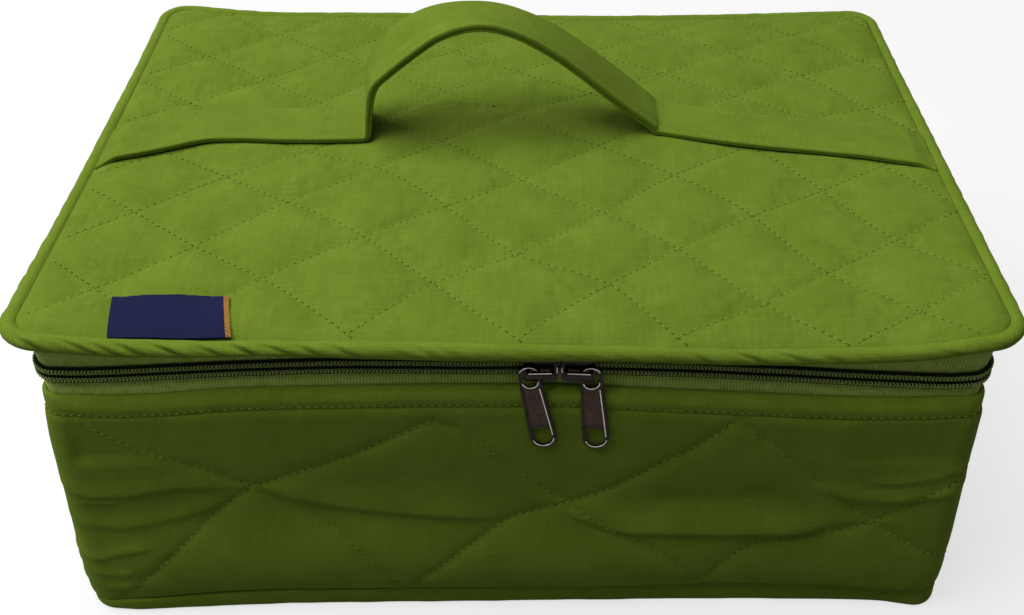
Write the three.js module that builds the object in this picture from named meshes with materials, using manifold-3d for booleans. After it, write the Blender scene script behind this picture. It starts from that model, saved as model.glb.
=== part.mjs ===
// A quilted craft storage bag: a soft fabric box with a padded lid that is zipped on round the front and sides
// and hinged at the back, a strap handle across the lid, and two zip sliders that meet at the front.
// Millimetres, +Z up, front towards -Y. The origin is on the floor, under the middle of the base.
import * as THREE from "three";
import { mergeVertices } from "three/addons/utils/BufferGeometryUtils.js";
import Module from "manifold-3d";

const wasm = await Module();
wasm.setup();

// Case
const caseWidth = 366; // across the outer faces of the side walls
const caseDepth = 270; // across the outer faces of the front and back walls
const cornerRadius = 9; // upright edges, at the outer face
const cornerSteps = 6; // facets round each upright edge
const layerGap = 0.3; // clearance between sewn layers
const floorClearance = 0.3; // base piping above the floor that the base panel lies on

// Layers of the walls, from the outside in
const coverThickness = 2.6; // quilted cotton with its wadding
const wallBoardThickness = 3;
const liningThickness = 1;
const coverHeight = 108;
const boardTopBelowCover = 9.4; // the wall boards stop short of the zip tape's seam allowance
const liningAboveCover = 8.4; // the lining runs up behind the zip tape

// Base
const basePanelThickness = 2.4;
const baseBoardThickness = 3;
const basePipingRadius = 4;
const basePipingProud = 1.2; // how far the base piping stands out from the wall

// Top edge of the walls
const hemHeight = 8.6;
const hemProud = 0.4;

// Zip
const tapeThickness = 0.8;
const tapeInSeam = 1.1; // lower tape hidden behind the wall cover
const lowerTapeShown = 8; // from the hem up to the lower coil
const upperTapeShown = 2.8; // from the upper coil up to the lid, where the sliders meet
const coilWidth = 3.4; // of one row, across the zip
const coilThickness = 2.2;
const coilGap = 1.6; // between the rows, which the sliders' dividers run in
const coilTurnLength = 4; // from one turn to the next
const coilNotchDepth = 0.55; // depth of the notch between two turns
const leftZipSlope = 0.03; // the zip and the hem fall away to the left of the sliders' meeting point
const rightZipSlope = 0.05; // and faster to its right

// Lid
const lidOverhang = 7; // outer edge of the lid piping beyond the wall
const lidPipingRadius = 3.6;
const lidPipingLift = 0.3; // lowest line of the piping above the underside of the lid lining
const lidCoverThickness = 3.4;
const lidCoverEdge = 1.8; // rounding of the cover's upper edge
const lidBoardThickness = 3;
const lidBoardInset = 7; // board edge inside the case outline

// Back hinge
const hingeStripThickness = 2;
const hingeAxisProud = 4.3; // fold axis behind the back wall's outer face

// Handle
const strapWidth = 29;
const strapThickness = 4;
const strapCoverThickness = 0.9; // fabric round the webbing core
const tailThickness = 2.6; // the strap where it lies flat on the lid
const tailChamfer = 0.6;
const footSpan = 129; // between the two feet, at the middle of the strap
const footShift = 0.5; // middle of the two feet, to the right of the lid's middle
const archHeight = 53; // from the lid to the middle of the strap at its top
const handleSetback = 22; // middle of the arch behind the lid's middle
const tailEndForward = 1; // middle of each tail in front of the lid's middle, where it meets the piping
const tailEndClearance = 0.3; // to the lid piping
const tailSteps = 10;

// Woven tag sewn into the front seam
const tagWidth = 46;
const tagDepth = 24;
const tagThickness = 0.9;
const tagFromCorner = 33.5; // from the case's left outer face to the tag
const tagOverPiping = 1; // tag's sewn edge in front of the case's outer face

// Sliders
const sliderLength = 13;
const sliderPlate = 1; // thickness of each plate
const sliderClearance = 0.3; // plates and flanges to the zip
const flangeWidth = 0.7;
const sliderHeadFlare = 0.5; // how much wider the head is than the tail, on each side
const dividerWidth = 1;
const dividerLength = 3.6;
const sliderMeetingPoint = 18.5; // where the two sliders meet, to the right of the middle
const sliderSpacing = 14.2; // between the sliders' middles
const sliderTailRounding = 1.5;
const sliderHeadRounding = 3;
const sliderFlareLength = 3.5; // the plates widen over this much of their length

// Crown: the arch on each slider that carries the pull
const crownWidth = 2.4;
const crownThickness = 1.2;
const crownLeg = 1.4; // length of each leg along the slider
const crownSpan = 9.2; // between the middles of the legs

// Pull tabs
const pullThickness = 1.4;
const pullLength = 39; // from the crown's leg to the lower end
const pullEyeWidth = 5.6;
const pullEyeLength = 9;
const pullEyeAbove = 1.75; // inner edge of the eye above the leg's middle
const pullRim = 1.4;
const pullTopWidth = 8.4;
const pullBottomWidth = 10.4;
const pullSlotLength = 9.4;
const pullRecessDepth = 0.4;
const pullRecessMargin = 1.6; // plain metal between the recess and the eye or the slot
const leftPullTilt = 10; // degrees, lower end towards the right
const rightPullTilt = 5;

// Heights worked out from the sizes above
const basePipingZ = floorClearance + basePipingRadius;
const wallBottom = basePipingZ + basePipingRadius + layerGap;
const wallTop = wallBottom + coverHeight;
const hemTop = wallTop + layerGap + hemHeight;
const lowerCoilBottom = hemTop + lowerTapeShown;
const chainZ = lowerCoilBottom + coilWidth + coilGap / 2;
const upperCoilTop = chainZ + coilGap / 2 + coilWidth;
const lidUnderside = upperCoilTop + upperTapeShown + layerGap;
const lidBoardBottom = lidUnderside + liningThickness + layerGap;
const lidCoverBottom = lidBoardBottom + lidBoardThickness + layerGap;
const lidTop = lidCoverBottom + lidCoverThickness;
const lidPipingZ = lidUnderside + lidPipingLift + lidPipingRadius;
const hingeZ = (wallTop + lidUnderside) / 2;

// Offsets from the case's outer face, positive outwards
const coverInside = -coverThickness;
const tapeOutside = coverInside - layerGap;
const tapeInside = tapeOutside - tapeThickness;
const coilInside = tapeOutside + layerGap;
const coilOutside = coilInside + coilThickness;
const boardOutside = coverInside - layerGap;
const boardInside = boardOutside - wallBoardThickness;
const liningOutside = boardInside - layerGap;
const liningInside = liningOutside - liningThickness;
const basePipingOffset = basePipingProud - basePipingRadius;
const baseEdge = basePipingOffset - basePipingRadius - layerGap;
const lidPipingOffset = lidOverhang - lidPipingRadius;
const lidCoverEdgeOffset = lidPipingOffset - lidPipingRadius - layerGap;
const handleAxisZ = lidTop + layerGap + strapWidth / 2;
const chainHalf = coilGap / 2 + coilWidth;

// Materials
const cotton = new THREE.MeshStandardMaterial({ color: "#6f8f2c", roughness: 0.95 });
const piping = new THREE.MeshStandardMaterial({ color: "#74942d", roughness: 0.95 });
const lining = new THREE.MeshStandardMaterial({ color: "#5d7a26", roughness: 0.9 });
const board = new THREE.MeshStandardMaterial({ color: "#d8d5cb", roughness: 0.8 });
const tape = new THREE.MeshStandardMaterial({ color: "#44591f", roughness: 0.9 });
const nylon = new THREE.MeshStandardMaterial({ color: "#20260f", roughness: 0.5 });
const webbing = new THREE.MeshStandardMaterial({ color: "#c9c6b8", roughness: 0.95 });
const tagCloth = new THREE.MeshStandardMaterial({ color: "#1c2142", roughness: 0.8 });
const gunmetal = new THREE.MeshStandardMaterial({ color: "#4a4446", roughness: 0.3, metalness: 1 });

const radians = THREE.MathUtils.degToRad;

// A closed mesh from points and faces, turned so that its faces point outwards.
function closedGeometry(points, faces) {
  let volume = 0;
  for (let i = 0; i < faces.length; i += 3) {
    const [a, b, c] = [points[faces[i]], points[faces[i + 1]], points[faces[i + 2]]];
    volume += a.dot(b.clone().cross(c));
  }
  const turned = volume < 0 ? faces.slice().reverse() : faces;
  const geometry = new THREE.BufferGeometry().setFromPoints(points);
  geometry.setIndex(turned);
  geometry.computeVertexNormals();
  return geometry;
}

// The corners of a case outline: points on its outer face, each with its outward direction.
function caseCorner(signX, signY, firstAngle) {
  const stations = [];
  for (let i = 0; i <= cornerSteps; i++) {
    const angle = radians(firstAngle + (90 * i) / cornerSteps);
    const out = new THREE.Vector2(Math.cos(angle), Math.sin(angle));
    const middle = new THREE.Vector2(
      signX * (caseWidth / 2 - cornerRadius),
      signY * (caseDepth / 2 - cornerRadius),
    );
    stations.push({ at: middle.addScaledVector(out, cornerRadius), out });
  }
  return stations;
}

// All round the case, or round the zip's run from one end of the back hinge to the other.
const frontSide = [
  ...caseCorner(-1, -1, 180),
  { at: new THREE.Vector2(sliderMeetingPoint, -caseDepth / 2), out: new THREE.Vector2(0, -1) },
  ...caseCorner(1, -1, 270),
];
const allRound = [...caseCorner(1, 1, 0), ...caseCorner(-1, 1, 90), ...frontSide];
const zipRun = [...caseCorner(-1, 1, 90), ...frontSide, ...caseCorner(1, 1, 0)];

// How far the zip and the hem lie below their height where the sliders meet. They fall in two straight lines
// along the front, and rise again along the sides to the ends of the back hinge.
function zipFall({ at }) {
  const straight = caseWidth / 2 - cornerRadius;
  const backEnd = caseDepth / 2 - cornerRadius;
  const x = THREE.MathUtils.clamp(at.x, -straight, straight);
  const share = THREE.MathUtils.clamp((backEnd - at.y) / (2 * backEnd), 0, 1);
  const slope = x < sliderMeetingPoint ? leftZipSlope : rightZipSlope;
  return slope * Math.abs(x - sliderMeetingPoint) * share;
}

// Stations at equal steps along a run.
function evenStations(run, step) {
  const lengths = [0];
  for (let i = 1; i < run.length; i++) {
    lengths.push(lengths[i - 1] + run[i].at.distanceTo(run[i - 1].at));
  }
  const total = lengths[lengths.length - 1];
  const count = Math.round(total / step);
  const stations = [];
  let k = 1;
  for (let i = 0; i <= count; i++) {
    const s = (total * i) / count;
    while (k < run.length - 1 && lengths[k] < s) k++;
    const share = (s - lengths[k - 1]) / (lengths[k] - lengths[k - 1]);
    stations.push({
      at: run[k - 1].at.clone().lerp(run[k].at, share),
      out: run[k - 1].out.clone().lerp(run[k].out, share).normalize(),
    });
  }
  return stations;
}

// Joins rings of points into a closed skin. A loop joins its last ring to its first; otherwise the ends are capped.
function skin(rings, looped) {
  const size = rings[0].length;
  const faces = [];
  const last = looped ? rings.length : rings.length - 1;
  for (let i = 0; i < last; i++) {
    const here = i * size;
    const next = ((i + 1) % rings.length) * size;
    for (let j = 0; j < size; j++) {
      const k = (j + 1) % size;
      faces.push(here + j, next + j, next + k, here + j, next + k, here + k);
    }
  }
  if (!looped) faces.push(...caps(rings, size));
  return closedGeometry(rings.flat(), faces);
}

// The two end faces of a capped skin, cut along the flattest view of each ring.
function caps(rings, size) {
  const faces = [];
  [rings[0], rings[rings.length - 1]].forEach((ring, end) => {
    const normal = new THREE.Vector3();
    ring.forEach((p, i) => normal.add(p.clone().cross(ring[(i + 1) % size])));
    const across = new THREE.Vector3().subVectors(ring[1], ring[0]).normalize();
    const up = normal.normalize().clone().cross(across);
    const flat = ring.map((p) => new THREE.Vector2(p.dot(across), p.dot(up)));
    const start = end * (rings.length - 1) * size;
    for (const [a, b, c] of THREE.ShapeUtils.triangulateShape(flat, [])) {
      faces.push(...(end ? [start + a, start + c, start + b] : [start + a, start + b, start + c]));
    }
  });
  return faces;
}

// Carries a section of [offset, height] points along a run of stations.
function sweep(run, section, looped) {
  const rings = run.map((station, i) => {
    const { at, out } = station;
    const points = typeof section === "function" ? section(station, i) : section;
    return points.map(
      ([offset, z]) => new THREE.Vector3(at.x + out.x * offset, at.y + out.y * offset, z),
    );
  });
  return skin(rings, looped);
}

const band = (inner, outer, low, high) => [
  [inner, low],
  [outer, low],
  [outer, high],
  [inner, high],
];

// A band whose lower or upper edge follows the zip.
const edges = { upper: [0, 1], lower: [1, 0], both: [1, 1] };
function fallingBand(inner, outer, low, high, falling) {
  const [lowFalls, highFalls] = edges[falling];
  return (station) => {
    const fall = zipFall(station);
    return band(inner, outer, low - lowFalls * fall, high - highFalls * fall);
  };
}

function roundSection(offset, z, radius, sides) {
  const points = [];
  for (let i = 0; i < sides; i++) {
    const angle = (2 * Math.PI * (i + 0.5)) / sides;
    points.push([offset + radius * Math.cos(angle), z + radius * Math.sin(angle)]);
  }
  return points;
}

// A flat piece with the case's outline: each level is [offset, height].
function slab(levels) {
  const rings = levels.map(([offset, z]) =>
    allRound.map(({ at, out }) => new THREE.Vector3(at.x + out.x * offset, at.y + out.y * offset, z)),
  );
  return skin(rings, false);
}

// A plain block between two corners.
function block(low, high) {
  const size = high.map((h, i) => h - low[i]);
  const geometry = new THREE.BoxGeometry(...size);
  geometry.translate(...low.map((l, i) => l + size[i] / 2));
  return geometry;
}

// A closed geometry as a manifold solid, and back.
function solid(geometry) {
  const bare = geometry.clone();
  bare.deleteAttribute("normal");
  bare.deleteAttribute("uv");
  const merged = mergeVertices(bare, 1e-4);
  return new wasm.Manifold(
    new wasm.Mesh({
      numProp: 3,
      vertProperties: new Float32Array(merged.attributes.position.array),
      triVerts: new Uint32Array(merged.index.array),
    }),
  );
}

function geometryOf(manifold) {
  const mesh = manifold.getMesh();
  const geometry = new THREE.BufferGeometry();
  geometry.setAttribute("position", new THREE.BufferAttribute(mesh.vertProperties, 3));
  geometry.setIndex(new THREE.BufferAttribute(mesh.triVerts, 1));
  geometry.computeVertexNormals();
  return geometry;
}

function extrude(shape, depth, from, curveSegments = 8) {
  const geometry = new THREE.ExtrudeGeometry(shape, { depth, bevelEnabled: false, curveSegments });
  geometry.translate(0, 0, from);
  return geometry;
}

const bag = new THREE.Group();

function add(name, geometry, material, parent = bag) {
  const mesh = new THREE.Mesh(geometry, material);
  mesh.name = name;
  parent.add(mesh);
  return mesh;
}

// Base: panel, stiffener, lining and the corded edge round them
function addBase() {
  const boardZ = basePanelThickness + layerGap;
  const liningZ = boardZ + baseBoardThickness + layerGap;
  add("base_panel", slab([[baseEdge, 0], [baseEdge, basePanelThickness]]), cotton);
  add("base_board", slab([[baseEdge, boardZ], [baseEdge, boardZ + baseBoardThickness]]), board);
  add(
    "base_lining",
    slab([[baseEdge, liningZ], [baseEdge, liningZ + liningThickness]]),
    lining,
  );
  const section = roundSection(basePipingOffset, basePipingZ, basePipingRadius, 10);
  add("base_piping", sweep(allRound, section, true), piping);
  return liningZ + liningThickness;
}

// Walls: quilted cover, four boards that let the box fold flat, and the lining
function addWalls(baseTop) {
  const cover = fallingBand(coverInside, 0, wallBottom, wallTop, "upper");
  add("wall_cover", sweep(allRound, cover, true), cotton);
  const low = Math.max(baseTop + layerGap, wallBottom);
  const high = wallTop - boardTopBelowCover;
  const halfX = caseWidth / 2;
  const halfY = caseDepth / 2;
  const alongX = halfX - cornerRadius;
  const alongY = halfY - cornerRadius;
  add(
    "front_board",
    block([-alongX, -halfY - boardOutside, low], [alongX, -halfY - boardInside, high]),
    board,
  );
  add(
    "back_board",
    block([-alongX, halfY + boardInside, low], [alongX, halfY + boardOutside, high]),
    board,
  );
  add(
    "left_board",
    block([-halfX - boardOutside, -alongY, low], [-halfX - boardInside, alongY, high]),
    board,
  );
  add(
    "right_board",
    block([halfX + boardInside, -alongY, low], [halfX + boardOutside, alongY, high]),
    board,
  );
  const section = band(liningInside, liningOutside, low, wallTop + liningAboveCover);
  add("wall_lining", sweep(allRound, section, true), lining);
  const hem = fallingBand(coverInside, hemProud, wallTop + layerGap, hemTop, "both");
  add("hem_band", sweep(zipRun, hem, false), cotton);
}

// One row of zip coil: a strip with a rounded back, notched between its turns.
function coilRow(low) {
  const stations = evenStations(zipRun, coilTurnLength / 2);
  return sweep(
    stations,
    (station, i) => {
      const notch = i % 2 ? coilNotchDepth : 0;
      const half = coilWidth / 2 - notch / 2;
      const middle = low + coilWidth / 2 - zipFall(station);
      return [
        [coilInside, middle - half],
        [coilOutside - notch, middle - half / 2],
        [coilOutside - notch, middle + half / 2],
        [coilInside, middle + half],
      ];
    },
    false,
  );
}

function addZip() {
  const seamLow = wallTop - tapeInSeam;
  const seamHigh = lidUnderside - layerGap;
  const half = coilGap / 2;
  const lower = fallingBand(tapeInside, tapeOutside, seamLow, chainZ - half, "both");
  const upper = fallingBand(tapeInside, tapeOutside, chainZ + half, seamHigh, "lower");
  add("lower_tape", sweep(zipRun, lower, false), tape);
  add("upper_tape", sweep(zipRun, upper, false), tape);
  add("lower_coil", coilRow(lowerCoilBottom), nylon);
  add("upper_coil", coilRow(chainZ + coilGap / 2), nylon);
}

// The strip that joins the lid to the back wall folds along its middle, so it is a leaf on each side.
function addHinge() {
  const half = caseWidth / 2 - cornerRadius - layerGap;
  const inner = caseDepth / 2 + coverInside;
  const outer = inner + hingeStripThickness;
  add(
    "hinge_strip_lower",
    block([-half, inner, wallTop + layerGap], [half, outer, hingeZ - layerGap / 2]),
    cotton,
  );
  add(
    "hinge_strip_upper",
    block([-half, inner, hingeZ + layerGap / 2], [half, outer, lidUnderside - layerGap]),
    cotton,
  );
}

function addLid() {
  const edge = lidCoverEdgeOffset;
  const round = (degrees) => [
    edge - lidCoverEdge * (1 - Math.cos(radians(degrees))),
    lidTop - lidCoverEdge * (1 - Math.sin(radians(degrees))),
  ];
  add("lid_cover", slab([[edge, lidCoverBottom], round(0), round(30), round(60), round(90)]), cotton);
  add(
    "lid_board",
    slab([[-lidBoardInset, lidBoardBottom], [-lidBoardInset, lidBoardBottom + lidBoardThickness]]),
    board,
  );
  add("lid_lining", slab([[edge, lidUnderside], [edge, lidUnderside + liningThickness]]), lining);
  const section = roundSection(lidPipingOffset, lidPipingZ, lidPipingRadius, 12);
  add("lid_piping", sweep(allRound, section, true), piping);
}

// The woven tag: a folded ribbon, its ends in the front seam, lying back on the lid.
function addTag() {
  const left = -caseWidth / 2 + tagFromCorner;
  const front = -caseDepth / 2 - tagOverPiping;
  const low = lidTop + layerGap;
  add(
    "woven_tag",
    block([left, front, low], [left + tagWidth, front + tagDepth, low + tagThickness]),
    tagCloth,
  );
}

// The middle line of the arch in shares of its span and height, from the left foot to the right one.
const archLine = [
  [0, -0.02],
  [0.003, 0.28],
  [0.035, 0.545],
  [0.13, 0.77],
  [0.264, 0.935],
  [0.403, 1],
  [0.535, 0.963],
  [0.659, 0.83],
  [0.783, 0.6],
  [0.899, 0.34],
  [0.977, 0.14],
  [1, -0.02],
];
const archSteps = 44;

// The strap seen from the front, as a band of the given thickness on its middle line.
function archShape(thickness) {
  const points = archLine.map(
    ([x, z]) => new THREE.Vector2(footShift + (x - 0.5) * footSpan, lidTop + z * archHeight),
  );
  const line = new THREE.SplineCurve(points);
  const outer = [];
  const inner = [];
  for (let i = 0; i <= archSteps; i++) {
    const at = line.getPointAt(i / archSteps);
    const along = line.getTangentAt(i / archSteps);
    const side = new THREE.Vector2(-along.y, along.x).multiplyScalar(thickness / 2);
    outer.push(at.clone().add(side));
    inner.unshift(at.clone().sub(side));
  }
  return new THREE.Shape([...outer, ...inner]);
}

// A strap of that shape, standing on edge across the lid's depth.
function archSolid(thickness, width) {
  const geometry = extrude(archShape(thickness), width, -width / 2);
  geometry.rotateX(Math.PI / 2);
  geometry.translate(0, handleSetback, 0);
  return solid(geometry);
}

// The feet are rounded about the line that the arch leans over on, so that it clears the lid.
function footMask(radius) {
  const top = archHeight + strapThickness;
  const shape = new THREE.Shape();
  shape.moveTo(radius, top);
  shape.lineTo(-radius, top);
  shape.lineTo(-radius, 0);
  shape.absarc(0, 0, radius, Math.PI, 2 * Math.PI, false);
  shape.lineTo(radius, top);
  const length = footSpan + 4 * strapThickness;
  const geometry = extrude(shape, length, footShift - length / 2, 12);
  // The shape's own axes become the depth, the height and the width.
  geometry.applyMatrix4(new THREE.Matrix4().set(0, 0, 1, 0, 1, 0, 0, 0, 0, 1, 0, 0, 0, 0, 0, 1));
  geometry.translate(0, handleSetback, handleAxisZ);
  return solid(geometry);
}

function addHandle() {
  const cavity = strapThickness - 2 * strapCoverThickness;
  const cavityWidth = strapWidth - 2 * strapCoverThickness;
  const sleeve = archSolid(strapThickness, strapWidth)
    .subtract(archSolid(cavity, cavityWidth))
    .intersect(footMask(strapWidth / 2));
  add("handle_cover", geometryOf(sleeve), cotton);
  const core = archSolid(cavity - 2 * layerGap, cavityWidth - 2 * layerGap).intersect(
    footMask(strapWidth / 2 - strapCoverThickness - layerGap),
  );
  add("handle_core", geometryOf(core), webbing);
}

// A tail of the strap, flat on the lid from a foot to the side piping, swinging forward on its way.
function tailShape(side) {
  const start = footShift + side * (footSpan / 2 + strapThickness / 2 + layerGap);
  const end = side * (caseWidth / 2 + lidCoverEdgeOffset - lidCoverEdge - tailEndClearance);
  const middle = (share) => handleSetback - (tailEndForward + handleSetback) * share * share;
  const front = [];
  const back = [];
  for (let i = 0; i <= tailSteps; i++) {
    const share = i / tailSteps;
    const x = start + (end - start) * share;
    front.push(new THREE.Vector2(x, middle(share) - strapWidth / 2));
    back.unshift(new THREE.Vector2(x, middle(share) + strapWidth / 2));
  }
  return new THREE.Shape([...front, ...back]);
}

function addTail(name, side) {
  const geometry = new THREE.ExtrudeGeometry(tailShape(side), {
    depth: tailThickness - 2 * tailChamfer,
    bevelThickness: tailChamfer,
    bevelSize: tailChamfer,
    bevelOffset: -tailChamfer,
    bevelSegments: 1,
  });
  geometry.translate(0, 0, lidTop + layerGap + tailChamfer);
  add(name, geometry, cotton);
}

// Slider, in its own frame: x along the zip towards its head, y up, z out of the wall, from the tape's back face
const slotLow = -sliderClearance;
const slotHigh = tapeThickness + sliderClearance;
const channelHigh = tapeThickness + layerGap + coilThickness + sliderClearance;
const plateTop = channelHigh + sliderPlate;
const channelHalf = chainHalf + sliderClearance;
const tailHalf = channelHalf + flangeWidth;
const pullBack = plateTop + sliderClearance;
const crownUnder = pullBack + pullThickness + sliderClearance;
const crownTop = crownUnder + crownThickness;

function sliderOutline() {
  const half = sliderLength / 2;
  const headHalf = tailHalf + sliderHeadFlare;
  const tailEnd = -half + sliderTailRounding;
  const headEnd = half - sliderHeadRounding;
  const shape = new THREE.Shape();
  shape.moveTo(-half, -tailHalf + sliderTailRounding);
  shape.quadraticCurveTo(-half, -tailHalf, tailEnd, -tailHalf);
  shape.bezierCurveTo(
    tailEnd + sliderFlareLength, -tailHalf, headEnd - sliderFlareLength, -headHalf, headEnd, -headHalf,
  );
  shape.quadraticCurveTo(half, -headHalf, half, -headHalf + sliderHeadRounding);
  shape.lineTo(half, headHalf - sliderHeadRounding);
  shape.quadraticCurveTo(half, headHalf, headEnd, headHalf);
  shape.bezierCurveTo(
    headEnd - sliderFlareLength, headHalf, tailEnd + sliderFlareLength, tailHalf, tailEnd, tailHalf,
  );
  shape.quadraticCurveTo(-half, tailHalf, -half, tailHalf - sliderTailRounding);
  return shape;
}

// The two plates, hollowed for the zip, joined at the head by the divider between the rows.
function sliderSolid() {
  const half = sliderLength / 2;
  const wide = tailHalf + sliderHeadFlare + 1;
  const low = slotLow - sliderPlate;
  const body = solid(extrude(sliderOutline(), plateTop - low, low, 5));
  const slot = solid(block([-half - 1, -wide, slotLow], [half + 1, wide, slotHigh]));
  const channel = solid(
    block([-half - 1, -channelHalf, slotHigh - 0.1], [half + 1, channelHalf, channelHigh]),
  );
  const post = [
    [half - dividerLength, -dividerWidth / 2, slotLow - sliderPlate / 2],
    [half - 0.3, dividerWidth / 2, channelHigh + sliderPlate / 2],
  ];
  return body.subtract(slot).subtract(channel).add(solid(block(...post))).add(crownSolid());
}

// The crown, an arch along the slider whose legs stand on the front plate.
function crownSolid() {
  const end = crownSpan / 2 + crownLeg / 2;
  const inside = crownSpan / 2 - crownLeg / 2;
  const foot = plateTop - sliderPlate / 2;
  const shape = new THREE.Shape();
  shape.moveTo(-end, foot);
  shape.lineTo(-end, crownTop - 1);
  shape.quadraticCurveTo(-end, crownTop, -end + 1, crownTop);
  shape.lineTo(end - 1, crownTop);
  shape.quadraticCurveTo(end, crownTop, end, crownTop - 1);
  shape.lineTo(end, foot);
  shape.lineTo(inside, foot);
  shape.lineTo(inside, crownUnder);
  shape.lineTo(-inside, crownUnder);
  shape.lineTo(-inside, foot);
  const geometry = extrude(shape, crownWidth, -crownWidth / 2, 4);
  geometry.rotateX(Math.PI / 2);
  return solid(geometry);
}

// A round-ended hole or pad about an upright line, between two heights.
function roundEnded(width, low, high) {
  const radius = width / 2;
  const shape = new THREE.Path();
  shape.absarc(0, high - radius, radius, 0, Math.PI, false);
  shape.absarc(0, low + radius, radius, Math.PI, 2 * Math.PI, false);
  shape.closePath();
  return shape;
}

// The pull tab, hanging from the middle of the crown's outer leg at its origin
function pullSolid() {
  const eyeTop = pullEyeAbove;
  const eyeLow = eyeTop - pullEyeLength;
  const topRadius = pullTopWidth / 2;
  const lowRadius = pullBottomWidth / 2;
  const outline = new THREE.Shape();
  outline.absarc(0, eyeTop + pullRim - topRadius, topRadius, 0, Math.PI, false);
  outline.absarc(0, -pullLength + lowRadius, lowRadius, Math.PI, 2 * Math.PI, false);
  outline.closePath();
  outline.holes.push(roundEnded(pullEyeWidth, eyeLow, eyeTop));
  const slotLowEnd = -pullLength + pullRim;
  const slotHighEnd = slotLowEnd + pullSlotLength;
  const slotHalf = lowRadius - pullRim;
  const slot = new THREE.Path();
  slot.moveTo(slotHalf, slotHighEnd);
  slot.lineTo(-slotHalf, slotHighEnd);
  slot.absarc(0, slotLowEnd + slotHalf, slotHalf, Math.PI, 2 * Math.PI, false);
  slot.closePath();
  outline.holes.push(slot);
  const plate = solid(extrude(outline, pullThickness, pullBack, 7));
  const recessHigh = eyeLow - pullRecessMargin;
  const recessLow = slotHighEnd + pullRecessMargin;
  const highHalf = topRadius - pullRim;
  const lowHalf = highHalf + ((slotHalf - highHalf) * (recessHigh - recessLow)) / pullLength;
  const recess = new THREE.Shape();
  recess.moveTo(-highHalf, recessHigh);
  recess.lineTo(-lowHalf, recessLow);
  recess.lineTo(lowHalf, recessLow);
  recess.lineTo(highHalf, recessHigh);
  recess.closePath();
  const cut = solid(extrude(recess, pullRecessDepth + 1, pullBack + pullThickness - pullRecessDepth));
  return plate.subtract(cut);
}

// One slider and its pull. The head points along +X at side 1 and along -X at side -1.
function addSlider(word, side, zipSlope, pullTilt) {
  const slant = Math.atan(zipSlope) * side;
  const middle = new THREE.Vector2(sliderMeetingPoint - (side * sliderSpacing) / 2, -caseDepth / 2);
  const stand = new THREE.Group();
  stand.position.set(middle.x, middle.y - tapeInside, chainZ - zipFall({ at: middle }));
  stand.rotation.x = Math.PI / 2;
  stand.rotateZ(slant);
  bag.add(stand);
  const body = add("slider_" + word, geometryOf(sliderSolid()), gunmetal, stand);
  body.rotation.z = side > 0 ? 0 : Math.PI;
  const pull = add("pull_" + word, geometryOf(pullSolid()), gunmetal, stand);
  pull.position.x = (-side * crownSpan) / 2;
  pull.rotation.z = radians(pullTilt) - slant;
}

addWalls(addBase());
addZip();
addHinge();
addLid();
addTag();
addHandle();
addTail("handle_tail_left", -1);
addTail("handle_tail_right", 1);
addSlider("left", 1, leftZipSlope, leftPullTilt);
addSlider("right", -1, rightZipSlope, rightPullTilt);

export default bag;
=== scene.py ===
import math

import bmesh
import bpy
import numpy as np
from mathutils import Matrix, Vector


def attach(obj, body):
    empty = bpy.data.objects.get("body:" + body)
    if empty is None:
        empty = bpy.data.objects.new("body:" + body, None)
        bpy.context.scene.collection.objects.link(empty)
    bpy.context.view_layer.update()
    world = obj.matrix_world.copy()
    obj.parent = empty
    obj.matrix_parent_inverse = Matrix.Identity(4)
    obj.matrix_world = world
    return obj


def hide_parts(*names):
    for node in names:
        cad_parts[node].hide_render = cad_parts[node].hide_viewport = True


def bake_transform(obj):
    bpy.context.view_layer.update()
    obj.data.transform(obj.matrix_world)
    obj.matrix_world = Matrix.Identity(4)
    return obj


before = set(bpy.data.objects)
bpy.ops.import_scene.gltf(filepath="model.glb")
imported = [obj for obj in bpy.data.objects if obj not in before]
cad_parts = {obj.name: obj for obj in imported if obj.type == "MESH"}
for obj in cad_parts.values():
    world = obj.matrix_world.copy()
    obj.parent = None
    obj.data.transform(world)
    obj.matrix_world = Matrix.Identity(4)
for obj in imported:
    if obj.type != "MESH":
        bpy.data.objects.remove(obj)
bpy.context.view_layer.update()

# Sizes in mm, the same as in the solids
mm = 0.001
case_width = 366
case_depth = 270
corner_radius = 9
cover_thickness = 2.6
base_piping_offset = -2.8
wall_bottom = 8.6
wall_top = 116.6
hem_bottom = 116.9
lower_coil_bottom = 133.5
chain_z = 137.7
upper_coil_top = 141.9
lid_top = 153.0
lid_cover_bottom = 149.6
lid_lining_z = 145.0
lid_lining_top = 146.0
lid_lining_offset = -0.9
lid_cloth_offset = 1.1 # the cover's cloth reaches a little over the piping's cord
lid_piping_offset = 3.4
lid_piping_radius = 3.6
lid_piping_z = 148.9
tape_outside = -2.9
tape_inside = -3.7
coil_inside = -2.6
coil_outside = -0.4
lining_outside = -6.2
lining_inside = -7.2
lining_top = 125.0
base_edge = -7.1
left_zip_slope = 0.03
right_zip_slope = 0.05
slider_meeting_point = 18.5
slider_spacing = 14.2
crown_span = 9.2
strap_width = 29
strap_thickness = 4
tail_thickness = 2.6
foot_span = 129
foot_shift = 0.5
quilting_stitch = 3.5
hem_stitch = 3.2

# Way round the case in mm: 0 in the middle of the front, positive to the right up to the middle of the back
straight_x = case_width / 2 - corner_radius
straight_y = case_depth / 2 - corner_radius
corner_run = math.pi / 2 * corner_radius
run_knots = np.cumsum([0, straight_x, corner_run, 2 * straight_y, corner_run, straight_x])
half_round = run_knots[-1]
whole_round = 2 * half_round
zip_end = run_knots[4]


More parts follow.
